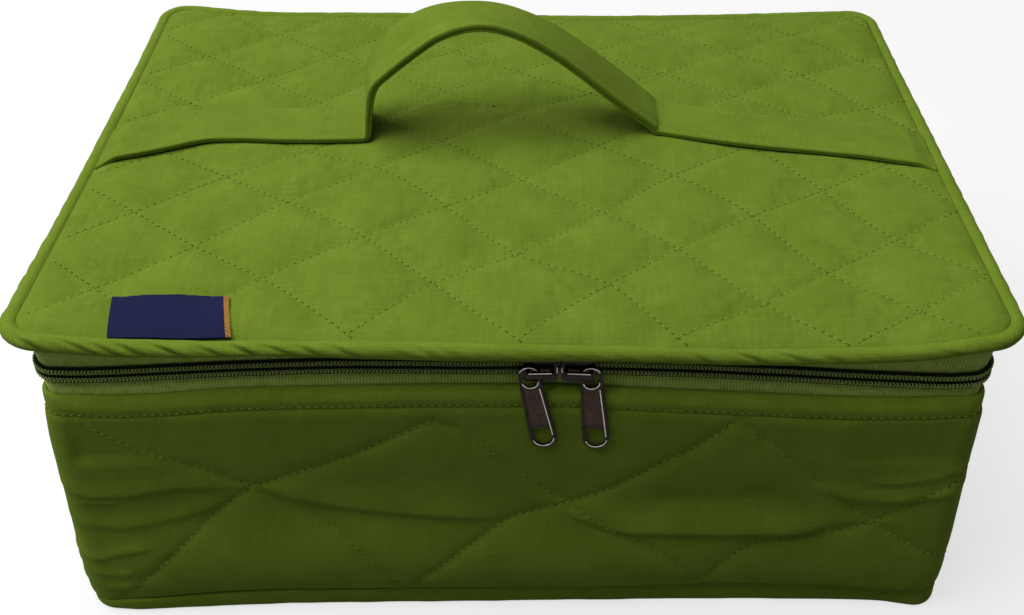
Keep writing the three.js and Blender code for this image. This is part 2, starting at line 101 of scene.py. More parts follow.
def outline(u, offset=0.0):
    """Points at u along the case, that far outside its outer face, and the outward direction there."""
    side = np.where(u < 0, -1.0, 1.0)
    run = np.abs(u)
    x = np.interp(run, run_knots, [0, straight_x, straight_x, straight_x, straight_x, 0])
    y = np.interp(run, run_knots, [-straight_y, -straight_y, -straight_y, straight_y, straight_y, straight_y])
    turn = np.radians(np.interp(run, run_knots, [-90, -90, 0, 0, 90, 90]))
    out_x = np.cos(turn) * side
    out_y = np.sin(turn)
    reach = corner_radius + offset
    return x * side + reach * out_x, y + reach * out_y, out_x, out_y


def zip_fall(u):
    """How far the zip and the hem lie below their height where the sliders meet."""
    x, y, _, _ = outline(u)
    share = np.clip((straight_y - y) / (2 * straight_y), 0, 1)
    past = np.clip(x, -straight_x, straight_x) - slider_meeting_point
    return np.where(past < 0, -left_zip_slope * past, right_zip_slope * past) * share


# Small tools for shapes
def smooth(t):
    t = np.clip(t, 0, 1)
    return t * t * (3 - 2 * t)


def bell(t):
    return np.exp(-(t ** 2))


def grid(a, b):
    """Every pair of a value from a and one from b."""
    return np.stack(np.meshgrid(a, b, indexing="ij"), axis=-1)


def passed_along(points):
    """The length passed at each point of a line."""
    return np.concatenate([[0], np.cumsum(np.linalg.norm(np.diff(points, axis=0), axis=1))])


def resampled(line, passed, at):
    """The points of a line at the lengths given."""
    return np.stack([np.interp(at, passed, part) for part in np.transpose(line)], axis=1)


def four_way(corners, s, t):
    """The value between four corners: s along the first and the second pair, t between the pairs."""
    low = corners[0] * (1 - s) + corners[1] * s
    high = corners[2] * (1 - s) + corners[3] * s
    return low * (1 - t) + high * t


def softened(values, spread, reach):
    """Values at even steps, each eased with its neighbours within reach."""
    weights = bell(np.arange(-reach, reach + 1) / spread)
    return np.convolve(np.pad(values, reach, mode="edge"), weights / weights.sum(), mode="valid")


def eased(knots, values, spread=9.0):
    """A smooth line through knots, as a function."""
    places = np.arange(knots[0] - 60, knots[-1] + 61, 1.0)
    line = softened(np.interp(places, knots, values), spread, 40)
    return lambda x: np.interp(x, places, line)


def soft_noise(u, v, size, seed, around=False):
    """Smooth random heights from -1 to 1 over points in mm, in patches of the given size."""
    table = np.random.default_rng(seed).uniform(-1, 1, (512, 128))
    columns = 512
    a = np.asarray(u, float) / size
    if around:
        columns = max(2, round(whole_round / size))
        a = (np.asarray(u, float) + half_round) * columns / whole_round
    b = np.asarray(v, float) / size
    a, b = np.broadcast_arrays(a, b)
    i, j = np.floor(a).astype(int), np.floor(b).astype(int)
    s, t = smooth(a - i), smooth(b - j)
    i1, j1 = (i + 1) % columns, (j + 1) % 128
    i, j = i % columns, j % 128
    return four_way((table[i, j], table[i1, j], table[i, j1], table[i1, j1]), s, t)


# How far the zip and the topstitch of the hem bow above their straight lines, along their run
zip_bow = eased(
    [-260, -200, -188, -176, -163, -147, -124, -105, -79, -64, -40, -10,
     30, 50, 71, 108, 127, 146, 165, 174, 188, 200, 260],
    [0, 2.5, 2.5, 0.4, -0.3, 0, 0.9, 1.6, 2.0, 2.1, 1.4, 0.2,
     0, 0.4, 0.7, 0.3, -0.2, -0.4, -0.3, 1.0, 4.0, 4.0, 0],
    spread=4.0,
)
hem_bow = eased(
    [-280, -200, -174, -153, -138, -109, -84, -60, -31, 0, 37, 72, 101, 130, 154, 167, 178, 200, 280],
    [0, 3.0, 2.1, 1.0, 1.2, 3.7, 4.0, 3.8, 3.7, 3.0, 2.4, 2.1, 2.0, 1.8, 3.0, 4.4, 5.0, 5.0, 0],
    spread=6.0,
)


def zip_height(u):
    """How far the zip lies above its height where the sliders meet."""
    return zip_bow(u) - zip_fall(u)


def hem_height(u):
    """How far the hem lies above its height in the middle of the front."""
    return hem_bow(u) - zip_fall(u)


def line_distance(u, v, line):
    """Each point's distance in mm from a line, the share of the line passed, and whether it lies above."""
    line = np.asarray(line, float)
    lengths = np.hypot(*np.diff(line, axis=0).T)
    passed = np.concatenate([[0], np.cumsum(lengths)])
    best = np.full(np.broadcast(u, v).shape, 1e9)
    share = np.zeros(best.shape)
    above = np.zeros(best.shape, bool)
    for k, (start, step) in enumerate(zip(line[:-1], np.diff(line, axis=0))):
        t = np.clip(((u - start[0]) * step[0] + (v - start[1]) * step[1]) / lengths[k] ** 2, 0, 1)
        d = np.hypot(u - start[0] - t * step[0], v - start[1] - t * step[1])
        nearer = d < best
        best = np.where(nearer, d, best)
        share = np.where(nearer, (passed[k] + t * lengths[k]) / passed[-1], share)
        above = np.where(nearer, step[0] * (v - start[1]) > step[1] * (u - start[0]), above)
    return best, share, above


def folds(u, v, lines):
    """Heights of creases in cloth: each has its height, its widths above and below, and its line."""
    height = np.zeros(np.broadcast(u, v).shape)
    for rise, wide_above, wide_below, line in lines:
        d, share, above = line_distance(u, v, line)
        ends = smooth(share / 0.18) * smooth((1 - share) / 0.25)
        height += rise * ends * bell(d / np.where(above, wide_above, wide_below))
    return height


def circle(radius, sides):
    angle = 2 * np.pi * np.arange(sides) / sides
    return np.stack([radius * np.cos(angle), radius * np.sin(angle)], axis=1)


def around_section(section):
    """Length passed at each point of a closed section, and once more at its start."""
    return passed_along(np.concatenate([section, section[:1]]))


def skin(name, rings, uv, material, looped=False, sharp=None):
    """A closed mesh over rings of points in mm: a loop joins its last ring to its first, or ends are capped."""
    count, size = rings.shape[:2]
    last = count if looped else count - 1
    i, j = (a.ravel() for a in np.meshgrid(np.arange(last), np.arange(size), indexing="ij"))
    i1, j1 = (i + 1) % count, (j + 1) % size
    faces = np.stack([i * size + j, i1 * size + j, i1 * size + j1, i * size + j1], axis=1)
    corners = np.stack([uv[i, j], uv[i + 1, j], uv[i + 1, j + 1], uv[i, j + 1]], axis=1)
    caps = []
    if not looped:
        end = (count - 1) * size
        caps = [np.arange(size), end + np.arange(size)[::-1]]
    points = rings.reshape(-1, 3)
    a, b, c, d = (points[faces[:, k]] for k in range(4))
    volume = np.einsum("ij,ij->", a, np.cross(b, c)) + np.einsum("ij,ij->", a, np.cross(c, d))
    for cap in caps:
        fan = points[cap]
        volume += sum(fan[0] @ np.cross(fan[k], fan[k + 1]) for k in range(1, size - 1))
    if volume < 0:
        faces, corners = faces[:, ::-1], corners[:, ::-1]
        caps = [cap[::-1] for cap in caps]
    loops = np.concatenate([faces.ravel(), *caps]).astype(np.int32)
    starts = np.arange(len(faces)) * 4
    cap_starts = [len(faces) * 4 + k * size for k in range(len(caps))]
    cap_corners = [uv[0 if cap.min() < size else count - 1, cap % size] for cap in caps]
    mesh = bpy.data.meshes.new(name)
    mesh.vertices.add(len(points))
    mesh.vertices.foreach_set("co", (points * mm).astype(np.float32).ravel())
    mesh.loops.add(len(loops))
    mesh.loops.foreach_set("vertex_index", loops)
    mesh.polygons.add(len(faces) + len(caps))
    mesh.polygons.foreach_set("loop_start", np.concatenate([starts, cap_starts]).astype(np.int32))
    mesh.update(calc_edges=True)
    layer = mesh.uv_layers.new(name="cloth")
    places = np.concatenate([corners.reshape(-1, 2), *cap_corners]) * mm
    layer.data.foreach_set("uv", places.astype(np.float32).ravel())
    mesh.validate()
    mesh.shade_smooth()
    if sharp:
        mesh.set_sharp_from_angle(angle=math.radians(sharp))
    mesh.materials.append(material)
    return add_object(name, mesh)


def add_object(name, data):
    made = bpy.data.objects.new(name, data)
    bpy.context.scene.collection.objects.link(made)
    return made


def final_mesh(piece):
    """A new mesh of a piece as its modifiers or its bevel leave it."""
    graph = bpy.context.evaluated_depsgraph_get()
    return bpy.data.meshes.new_from_object(piece.evaluated_get(graph))


def settle(piece, body, slot, *nodes):
    """The piece rides on a body and stands for the solids named, which it hides; the slot is not used."""
    if nodes:
        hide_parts(*nodes)
    if body:
        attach(piece, body)
    return piece


def ring_path(u, offset, z):
    """Points in mm from runs, offsets and heights of the same shape."""
    x, y, _, _ = outline(u, offset)
    return np.stack(np.broadcast_arrays(x, y, z), axis=-1)


def sweep_round(name, u, sections, material, looped, sharp=None):
    """Carries sections of (offset, height), one for each run u or the same for all, round the case."""
    sections = np.broadcast_to(sections, (len(u),) + np.shape(sections)[-2:])
    rings = ring_path(u[:, None], sections[..., 0], sections[..., 1])
    v = around_section(sections[0])
    far = np.append(u, u[0] + whole_round) if looped else u
    uv = grid(far, v)
    return skin(name, rings, uv, material, looped, sharp)


# Materials
def colour(code):
    """A written colour such as #6f8c2b as linear light."""
    parts = [int(code[k:k + 2], 16) / 255 for k in (1, 3, 5)]
    return [p / 12.92 if p <= 0.04045 else ((p + 0.055) / 1.055) ** 2.4 for p in parts] + [1.0]


def add_node(tree, kind, inputs=None, **settings):
    """A node with its settings. Each input takes a value, an output, or the first output of a node."""
    made = tree.nodes.new(kind)
    for name, value in settings.items():
        setattr(made, name, value)
    for name, value in (inputs or {}).items():
        if isinstance(value, bpy.types.Node):
            value = value.outputs[0]
        if isinstance(value, bpy.types.NodeSocket):
            tree.links.new(value, made.inputs[name])
        else:
            made.inputs[name].default_value = value
    return made


def new_material(name):
    made = bpy.data.materials.new(name)
    made.use_nodes = True
    made.node_tree.nodes.clear()
    return made, made.node_tree


def finish_material(made, share, dark, light, height, relief, inputs):
    """Completes a finish: two colours mixed by a share, and a height with its relief in mm as the bump."""
    tree = made.node_tree
    tint = add_node(tree, "ShaderNodeMix", {0: share, 6: colour(dark), 7: colour(light)}, data_type="RGBA")
    lift = add_node(tree, "ShaderNodeMath", {0: height, 1: relief * mm}, operation="MULTIPLY")
    bump = add_node(tree, "ShaderNodeBump", {"Height": lift, "Distance": 1.0, "Strength": 1.0})
    inputs = {"Base Color": tint.outputs[2], "Normal": bump, **inputs}
    shader = add_node(tree, "ShaderNodeBsdfPrincipled", inputs)
    add_node(tree, "ShaderNodeOutputMaterial", {"Surface": shader})
    return made


one_wave = 0.31831 # the scale at which a wave texture repeats about once a unit


def woven(name, dark, light, thread, relief, bias=0.0, sheen=0.12, roughness=0.9):
    """Cloth in a plain weave on its own UV map, its threads that far apart in mm."""
    made, tree = new_material(name)
    cloth = add_node(tree, "ShaderNodeUVMap", uv_map="cloth")
    turned = add_node(tree, "ShaderNodeMapping", {
        "Vector": cloth, "Rotation": (0, 0, bias), "Scale": (1 / (thread * mm),) * 3,
    })
    drift = add_node(tree, "ShaderNodeTexNoise", {"Vector": turned, "Scale": 0.35, "Detail": 2.0})
    wander = add_node(tree, "ShaderNodeVectorMath", {
        0: drift.outputs["Color"], 1: (0.9, 0.9, 0.9), 2: turned,
    }, operation="MULTIPLY_ADD")
    warp, weft = (
        add_node(tree, "ShaderNodeTexWave", {"Vector": wander, "Scale": one_wave}, bands_direction=way)
        for way in "XY"
    )
    over = add_node(tree, "ShaderNodeTexChecker", {"Vector": wander, "Scale": 1.0})
    threads = add_node(tree, "ShaderNodeMix", {
        0: over.outputs["Fac"], 2: warp.outputs["Fac"], 3: weft.outputs["Fac"],
    })
    slubs = []
    for stretch in ((620, 70, 1), (80, 700, 1)):
        run = add_node(tree, "ShaderNodeMapping", {
            "Vector": cloth, "Scale": stretch, "Rotation": (0, 0, bias),
        })
        slubs.append(add_node(tree, "ShaderNodeTexNoise", {"Vector": run, "Scale": 1.0, "Detail": 3.0}))
    slub = add_node(tree, "ShaderNodeMix", {0: 0.5, 2: slubs[0], 3: slubs[1]})
    patch = add_node(tree, "ShaderNodeTexNoise", {
        "Vector": cloth, "Scale": 38.0, "Detail": 4.0, "Roughness": 0.6,
    })
    shade = -0.12
    for part, share in ((slub, 0.55), (patch, 0.5), (threads, 0.1)):
        shade = add_node(tree, "ShaderNodeMath", {0: part, 1: share, 2: shade}, operation="MULTIPLY_ADD")
    spread = add_node(tree, "ShaderNodeMapRange", {"Value": shade, "From Min": 0.25, "From Max": 0.75})
    rough = add_node(tree, "ShaderNodeMapRange", {
        "Value": slub, "To Min": roughness - 0.08, "To Max": roughness + 0.06,
    })
    height = add_node(tree, "ShaderNodeMath", {0: slub, 1: 2.2, 2: threads}, operation="MULTIPLY_ADD")
    return finish_material(made, spread, dark, light, height, relief, {
        "Roughness": rough,
        "Specular IOR Level": 0.1,
        "Sheen Weight": sheen,
        "Sheen Roughness": 0.5,
        "Sheen Tint": colour(light),
    })


def quilting_cotton():
    """Cotton poplin, piece dyed and quilted: matt, with thread lines just showing and a faint bloom.
    Its threads are 0.35 mm apart and are drawn 1 mm apart, so that they show."""
    return woven("quilting_cotton_poplin", "#5b711a", "#778e2f", 1.0, 0.07)


def bias_cotton():
    """The same poplin cut at 45 degrees and folded over cord: its threads run slantwise round the piping."""
    return woven("bias_cut_poplin", "#5f751c", "#79912f", 1.0, 0.08, bias=math.radians(45))


def hem_cotton_painted_lighter():
    """The same poplin, folded and topstitched along the top of the walls, its colours painted lighter as
    painted light on the band under the lid's overhang.
    """
    return woven("folded_hem_poplin_painted_lighter", "#6b8421", "#87a236", 1.0, 0.08)


def lining_taffeta():
    """Polyester taffeta lining: smoother and glossier than the cotton, its tight weave drawn 0.8 mm apart."""
    return woven("lining_taffeta", "#3f5219", "#4f6522", 0.8, 0.05, sheen=0.1, roughness=0.6)


def ribbed_tape_partly_painted_light():
    """Knitted polyester zip tape in a lighter green, painted lighter still as painted light where it lies in
    the lid's shade: small V-shaped loops, drawn 1.25 by 0.9 mm to show.
    """
    made, tree = new_material("knitted_zip_tape_partly_painted_light")
    cloth = add_node(tree, "ShaderNodeUVMap", uv_map="cloth")
    fine = add_node(tree, "ShaderNodeTexNoise", {"Vector": cloth, "Scale": 260.0, "Detail": 3.0})
    wander = add_node(tree, "ShaderNodeVectorMath", {
        0: fine.outputs["Color"], 1: (0.0006, 0.0006, 0), 2: cloth,
    }, operation="MULTIPLY_ADD")
    x, y, _ = add_node(tree, "ShaderNodeSeparateXYZ", {"Vector": wander}).outputs
    zigzag = add_node(tree, "ShaderNodeMath", {0: x, 1: 0.62 * mm}, operation="PINGPONG")
    lifted = add_node(tree, "ShaderNodeMath", {0: zigzag, 1: 0.9, 2: y}, operation="MULTIPLY_ADD")
    chevrons = add_node(tree, "ShaderNodeCombineXYZ", {"X": x, "Y": lifted})
    ribs, rows = (
        add_node(tree, "ShaderNodeTexWave", {
            "Vector": vector, "Scale": one_wave / (pitch * mm),
        }, bands_direction=way)
        for vector, pitch, way in ((wander, 1.25, "X"), (chevrons, 0.9, "Y"))
    )
    loops = add_node(tree, "ShaderNodeMath", {
        0: rows.outputs["Fac"], 1: ribs.outputs["Fac"],
    }, operation="MULTIPLY")
    knit = add_node(tree, "ShaderNodeMath", {0: fine, 1: 0.9, 2: loops}, operation="MULTIPLY_ADD")
    spread = add_node(tree, "ShaderNodeMapRange", {"Value": knit, "From Min": 0.3, "From Max": 1.1})
    # the tape's own lighter green, raised further as painted light
    return finish_material(made, spread, "#8aa630", "#cde37a", knit, 0.12, {
        "Roughness": 0.85, "Specular IOR Level": 0.12, "Sheen Weight": 0.1, "Sheen Roughness": 0.4,
    })


def plain(name, dark, light, size, roughness, relief=0.0, **sockets):
    """A finish of two close colours in patches of a size in mm, with a little relief."""
    made, tree = new_material(name)
    place = add_node(tree, "ShaderNodeTexCoord").outputs["Object"]
    patches = add_node(tree, "ShaderNodeTexNoise", {"Vector": place, "Scale": 1 / (size * mm), "Detail": 3.0})
    rough = add_node(tree, "ShaderNodeMapRange", {
        "Value": patches, "To Min": max(roughness - 0.08, 0.05), "To Max": roughness + 0.08,
    })
    return finish_material(made, patches, dark, light, patches, relief, {"Roughness": rough, **sockets})


def sewing_thread():
    """Spun polyester sewing thread, near the cotton's colour, with a soft gloss on each stitch."""
    gloss = {"Specular IOR Level": 0.15}
    return plain("polyester_sewing_thread", "#697f28", "#7c9537", 1.5, 0.6, 0.02, **gloss)


def needle_hole_painted_shade():
    """Painted shade: a dark finish for the shadow in the hole where a stitch goes down into the wadding."""
    return plain("painted_shade_in_needle_hole", "#425518", "#586d24", 2.0, 0.95, **{"Specular IOR Level": 0.0})


def zip_thread():
    """The sewn threads that hold the coil: pale grey green, standing out from the dark coil."""
    return plain("zip_sewing_thread", "#7c8f44", "#a3b76a", 2.0, 0.7, 0.02, **{"Specular IOR Level": 0.15})


def coil_nylon():
    """Extruded nylon filament, dyed near black: a soft gloss on each turn."""
    return plain("nylon_zip_coil", "#0b0f06", "#151b0c", 3.0, 0.55, 0.0, **{"Specular IOR Level": 0.03})


def stiff_board():
    """Extruded polypropylene board: pale, smooth and slightly waxy."""
    return plain("polypropylene_board", "#cfcabc", "#dcd8cc", 30.0, 0.45, 0.02)


def slider_metal():
    """Die-cast zinc with a black nickel finish: dark and slightly warm, worn a little brighter in patches."""
    return plain("black_nickel_zinc", "#0f0c0b", "#2b2422", 1.2, 0.28, 0.05, Metallic=1.0)


def hammered_metal():
    """The sunk panel of the pull: black nickel over a cast, pitted ground."""
    return plain("black_nickel_cast_ground", "#020202", "#45372f", 0.9, 0.4, 0.5, Metallic=1.0)


def rubbed_edge_and_highlight():
    """Bright nickel on the edges of the pull and the slider: partly edges rubbed through, partly painted
    highlight where the edges catch the light.
    """
    return plain("rubbed_nickel_and_painted_highlight", "#5e5752", "#c4beb6", 1.8, 0.25, 0.02, Metallic=1.0)


def satin_ribbon(name, dark, light, pitch, slant):
    """Woven satin ribbon: fine ribs across it and a soft gloss."""
    made, tree = new_material(name)
    cloth = add_node(tree, "ShaderNodeUVMap", uv_map="cloth")
    turned = add_node(tree, "ShaderNodeMapping", {
        "Vector": cloth, "Rotation": (0, 0, slant), "Scale": (1 / (pitch * mm),) * 3,
    })
    ribs = add_node(tree, "ShaderNodeTexWave", {
        "Vector": turned, "Scale": one_wave, "Distortion": 0.6,
    }, bands_direction="Y")
    fuzz = add_node(tree, "ShaderNodeTexNoise", {"Vector": turned, "Scale": 0.7, "Detail": 3.0})
    mixed = add_node(tree, "ShaderNodeMath", {
        0: ribs.outputs["Fac"], 1: 0.6, 2: fuzz,
    }, operation="MULTIPLY_ADD")
    gloss = {"Roughness": 0.7, "Specular IOR Level": 0.03}
    return finish_material(made, mixed, dark, light, mixed, 0.05, gloss)


cotton = quilting_cotton()
piping_cloth = bias_cotton()
hem_cloth_painted_lighter = hem_cotton_painted_lighter()
lining = lining_taffeta()
tape_cloth_partly_painted_light = ribbed_tape_partly_painted_light()
thread = sewing_thread()
# dark beads at the needle holes: painted shade
hole = needle_hole_painted_shade()
braid = zip_thread()
nylon = coil_nylon()
board = stiff_board()
black_nickel = slider_metal()
cast_ground = hammered_metal()
# bright nickel strips: rubbed edges and painted highlights
bright_edge_and_highlight = rubbed_edge_and_highlight()
navy_ribbon = satin_ribbon("navy_satin_ribbon", "#111530", "#1e2444", 0.55, 0.0)
gold_ribbon = satin_ribbon("gold_woven_selvedge", "#2a1a0c", "#a5763a", 1.3, 0.75)


# Geometry Nodes that set one bead on each point: the bead is a stitch, a dark bead of painted shade at a needle
# hole, or a turn of the zip
def bead_tree():
    tree = bpy.data.node_groups.new("beads_on_points", "GeometryNodeTree")
    sizes = [(name, "Float") for name in ("Length", "Width", "Height")]
    for name, kind in [("Geometry", "Geometry"), *sizes, ("Material", "Material")]:
        tree.interface.new_socket(name, in_out="INPUT", socket_type="NodeSocket" + kind)
    tree.interface.new_socket("Geometry", in_out="OUTPUT", socket_type="NodeSocketGeometry")
    given = add_node(tree, "NodeGroupInput").outputs
    size = add_node(tree, "ShaderNodeCombineXYZ", {
        "X": given["Length"], "Y": given["Width"], "Z": given["Height"],
    })
    ball = add_node(tree, "GeometryNodeMeshUVSphere", {"Segments": 7, "Rings": 4, "Radius": 0.5})
    bead = add_node(tree, "GeometryNodeTransform", {"Geometry": ball, "Scale": size})
    turn = add_node(tree, "GeometryNodeInputNamedAttribute", {"Name": "turn"}, data_type="FLOAT_VECTOR")
    placed = add_node(tree, "GeometryNodeInstanceOnPoints", {
        "Points": given["Geometry"],
        "Instance": bead,
        "Rotation": add_node(tree, "FunctionNodeEulerToRotation", {"Euler": turn.outputs["Attribute"]}),
    })
    real = add_node(tree, "GeometryNodeRealizeInstances", {"Geometry": placed})
    rounded_off = add_node(tree, "GeometryNodeSetShadeSmooth", {"Geometry": real})
    painted = add_node(tree, "GeometryNodeSetMaterial", {
        "Geometry": rounded_off, "Material": given["Material"],
    })
    add_node(tree, "NodeGroupOutput", {"Geometry": painted})
    return tree


beads_on_points = bead_tree()


def unit(vectors):
    return vectors / np.maximum(np.linalg.norm(vectors, axis=-1, keepdims=True), 1e-9)


def beads(name, places, along, out, size, material, slant=0.0):
    """Beads of (length, width, height) mm at places, lying along one direction and facing out along another."""
    along = unit(along - out * np.sum(along * out, axis=1, keepdims=True))
    across = np.cross(out, along)
    lengthwise = along * math.cos(slant) + across * math.sin(slant)
    sideways = np.cross(out, lengthwise)
    turns = [
        Matrix((tuple(a), tuple(b), tuple(c))).transposed().to_euler()[:]
        for a, b, c in zip(lengthwise, sideways, out)
    ]
    mesh = bpy.data.meshes.new(name)
    mesh.from_pydata((places * mm).tolist(), [], [])
    mesh.attributes.new("turn", "FLOAT_VECTOR", "POINT").data.foreach_set("vector", np.ravel(turns))
    holder = add_object(name + "_points", mesh)
    modifier = holder.modifiers.new("beads", "NODES")
    modifier.node_group = beads_on_points
    for key, value in zip(("Length", "Width", "Height"), size):
        modifier[beads_on_points.interface.items_tree[key].identifier] = value * mm
    modifier[beads_on_points.interface.items_tree["Material"].identifier] = material
    made = final_mesh(holder)
    made.name = name
    bpy.data.objects.remove(holder)
    bpy.data.meshes.remove(mesh)
    return add_object(name, made)


def stitch_row(line, pitch):
    """Places and directions every pitch mm along a line of points."""
    passed = passed_along(line)
    at = np.arange(pitch / 2, passed[-1], pitch)
    back, places, ahead = (resampled(line, passed, at + shift) for shift in (-0.3, 0, 0.3))
    return places, ahead - back


# Dark beads of painted shade at the needle holes, as length, width and height in mm
lid_hole = (1.1, 0.85, 0.35)
wall_hole = (1.1, 0.7, 0.3)
hem_hole = (1.2, 0.6, 0.3)


def sew(name, lines, outs, pitch, body, slot, hole_size, thread_width=0.7):
    """Rows of stitches: threads that lie on the cloth, with a dark bead of painted shade in the needle hole
    between each two.
    """
    for kind, shift, size, material, lift in (
        ("stitches", 0.0, (pitch * 0.62, thread_width, 0.45), thread, 0.1),
        # dark beads of painted shade at the needle holes
        ("hole_shades", 0.5, hole_size, hole, 0.12),
    ):
        places, along, out = [], [], []
        for line, out_of in zip(lines, outs):
            at, direction = stitch_row(line, pitch)
            at = at + unit(direction) * shift * pitch
            normal = out_of(at)
            places.append(at + normal * lift)
            along.append(direction)
            out.append(normal)
        rows = [np.concatenate(part) for part in (places, along, out)]
        settle(beads(f"{name}_{kind}", *rows, size, material), body, slot)


# Lid: where its edge rises and falls, and its quilting
lid_front_rise = eased(
    [-190, -175, -160, -146, -110, -90, -58, -36, -6, 30, 52, 75, 96, 118, 140, 154, 161, 168, 176, 190],
    [5.2, 4.0, 2.4, 1.2, 0.6, 1.3, 0.6, 0.2, -0.6, -0.8, -1.4, -2.2, -2.5, -1.9, -1.2, 0.4, 1.4, 3.1, 4.8, 6.0],
    spread=6.0,
)
lid_back_rise = eased(
    [-190, -170, -154, -130, -74, 0, 50, 97, 129, 161, 190],
    [4.6, 3.2, 1.4, -0.3, -0.6, -2.2, -2.9, -2.3, -1.5, -0.4, 0.6],
)


def lid_bend(x, y):
    """How far the lid and its piping lie above their flat height."""
    share = np.clip((y + 137.5) / 275, 0, 1)
    return lid_front_rise(x) * (1 - share) ** 1.6 + lid_back_rise(x) * share ** 2.4


# Places on the lid where stitch rows cross, in mm: rows that rise to the right, and falling rows they meet
lid_crossings = {
    0: {1: (-125, -26), 2: (-92, -5), 3: (-62, 21), 4: (-33, 52), 5: (0, 73)},
    1: {0: (-128, -78), 1: (-95, -46), 2: (-60, -18), 3: (-33, 5), 4: (0, 30)},
    2: {0: (-97, -100), 1: (-60, -71), 2: (-28, -48), 3: (4, -27), 4: (38, 2), 5: (72, 28), 6: (105, 48),
        7: (140, 68)},
    3: {0: (-60, -133), 1: (-30, -102), 2: (2, -82), 3: (38, -52), 4: (70, -22), 5: (105, 2), 6: (135, 25),
        7: (165, 33)},
    4: {1: (3, -134), 2: (38, -101), 3: (67, -77), 4: (100, -53), 5: (132, -35)},
    5: {2: (62, -132), 3: (97, -112), 4: (124, -93), 5: (155, -73)},
    6: {3: (125, -136)},
}


def bent_plate(places, values):
    """A smooth function with the given values at places in mm, as a thin plate bent through them has."""
    places = np.asarray(places, float) / 100

    def sag(r):
        return r * r * np.log(np.maximum(r, 1e-9))

    flat = np.concatenate([np.ones((len(places), 1)), places], axis=1)
    bent = sag(np.linalg.norm(places[:, None] - places[None], axis=2))
    table = np.block([[bent, flat], [flat.T, np.zeros((3, 3))]])
    weights = np.linalg.solve(table, np.concatenate([values, np.zeros(3)]))

    def height(x, y):
        a, b = np.asarray(x, float) / 100, np.asarray(y, float) / 100
        total = weights[-3] + weights[-2] * a + weights[-1] * b
        for (px, py), weight in zip(places, weights):
            total = total + weight * sag(np.hypot(a - px, b - py))
        return total

    return height


met = [(place, rising, falling) for rising, row in lid_crossings.items() for falling, place in row.items()]
crossings, rising_numbers, falling_numbers = zip(*met)
rising_rows = bent_plate(crossings, rising_numbers)
falling_rows = bent_plate(crossings, falling_numbers)


def row_distance(x, y, rows):
    """Distance in mm to the nearest stitch row of one family."""
    here = rows(x, y)
    slope_x = (rows(x + 1, y) - rows(x - 1, y)) / 2
    slope_y = (rows(x, y + 1) - rows(x, y - 1)) / 2
    return np.abs(here - np.round(here)) / np.hypot(slope_x, slope_y)


def lid_rows(x, y, climb):
    """Distance to the nearest stitch row, and the share of its height that a pillow has there."""
    rising, falling = (row_distance(x, y, rows) for rows in (rising_rows, falling_rows))
    return np.minimum(rising, falling), (1 - np.exp(-rising / climb)) * (1 - np.exp(-falling / climb))


# The strap's middle line where it lies on the lid
strap_middle = eased(
    [-195, -181, -165, -150, -140, -125, -110, -90, -66, 0, 66, 80, 100, 120, 140, 160, 172, 181, 195],
    [-14, -4.5, 3, 11.5, 15, 16, 15, 14.3, 15.5, 21.5, 24.5, 20, 14.5, 9.5, 5.5, 0.5, -5, -8.5, -12],
    spread=5.0,
)

lid_wrinkles = [
    (0.9, 3.5, 3.5, [(-172, 108), (-140, 112), (-110, 104), (-84, 88), (-74, 70)]),
    (0.8, 4.0, 4.0, [(-178, 88), (-150, 78), (-128, 70), (-104, 50)]),
    (0.7, 3.0, 3.0, [(-176, 44), (-158, 33), (-150, 28)]),
    (0.7, 3.2, 0.9, [(-50, 31), (-36, 36), (-16, 38), (6, 36)]),
    (-0.5, 0.9, 2.4, [(-48, 27), (-32, 31), (-12, 33)]),
    (0.6, 2.5, 2.5, [(-62, 20), (-46, 16), (-32, 9)]),
    (0.8, 5.0, 5.0, [(84, 103), (120, 105), (160, 102)]),
    (-0.6, 4.0, 4.0, [(90, 97), (125, 98), (165, 95)]),
    (0.8, 3.5, 3.5, [(112, -112), (132, -109), (150, -112)]),
    (0.5, 3.0, 3.0, [(96, -104), (104, -107), (118, -106)]),
    (0.6, 4.0, 4.0, [(160, 118), (170, 100), (178, 84)]),
]


# Lid padding: a sheet held down along the stitch rows and blown up from below, as the wadding lifts it
padding_step = 2.4
padding_reach = (187.2, 139.2) # from the middle of the sheet to its sides
padding_frames = 22


def padding_sheet(xs, ys):
    """A flat sheet over the lid in even squares."""
    x, y = np.meshgrid(xs, ys)
    points = np.stack([x, y, 0.05 * soft_noise(x, y, 5, 7)], axis=-1).reshape(-1, 3) * mm
    across = len(xs)
    first = (np.arange(len(ys) - 1)[:, None] * across + np.arange(across - 1)).ravel()
    faces = np.stack([first, first + 1, first + across + 1, first + across], axis=1)
    mesh = bpy.data.meshes.new("padding_sheet")
    mesh.from_pydata(points.tolist(), [], faces.tolist())
    return add_object("padding_sheet", mesh)


def add_weights(piece, name, weights):
    """A vertex group with weights from 0 to 1 in twenty steps."""
    group = piece.vertex_groups.new(name=name)
    steps = np.ceil(weights.ravel() * 20).astype(int)
    for step in range(1, 21):
        group.add(np.flatnonzero(steps == step).tolist(), step / 20, "REPLACE")


cloth_settings = {
    "quality": 6,
    "mass": 0.2,
    "air_damping": 2.0,
    "tension_stiffness": 15,
    "compression_stiffness": 15,
    "shear_stiffness": 7.5,
    "bending_stiffness": 0.06,
    "use_pressure": True,
    "uniform_pressure_force": 4.0,
    "vertex_group_mass": "held",
    "vertex_group_shrink": "gathered",
    "shrink_min": -0.004,
    "shrink_max": -0.025,
}


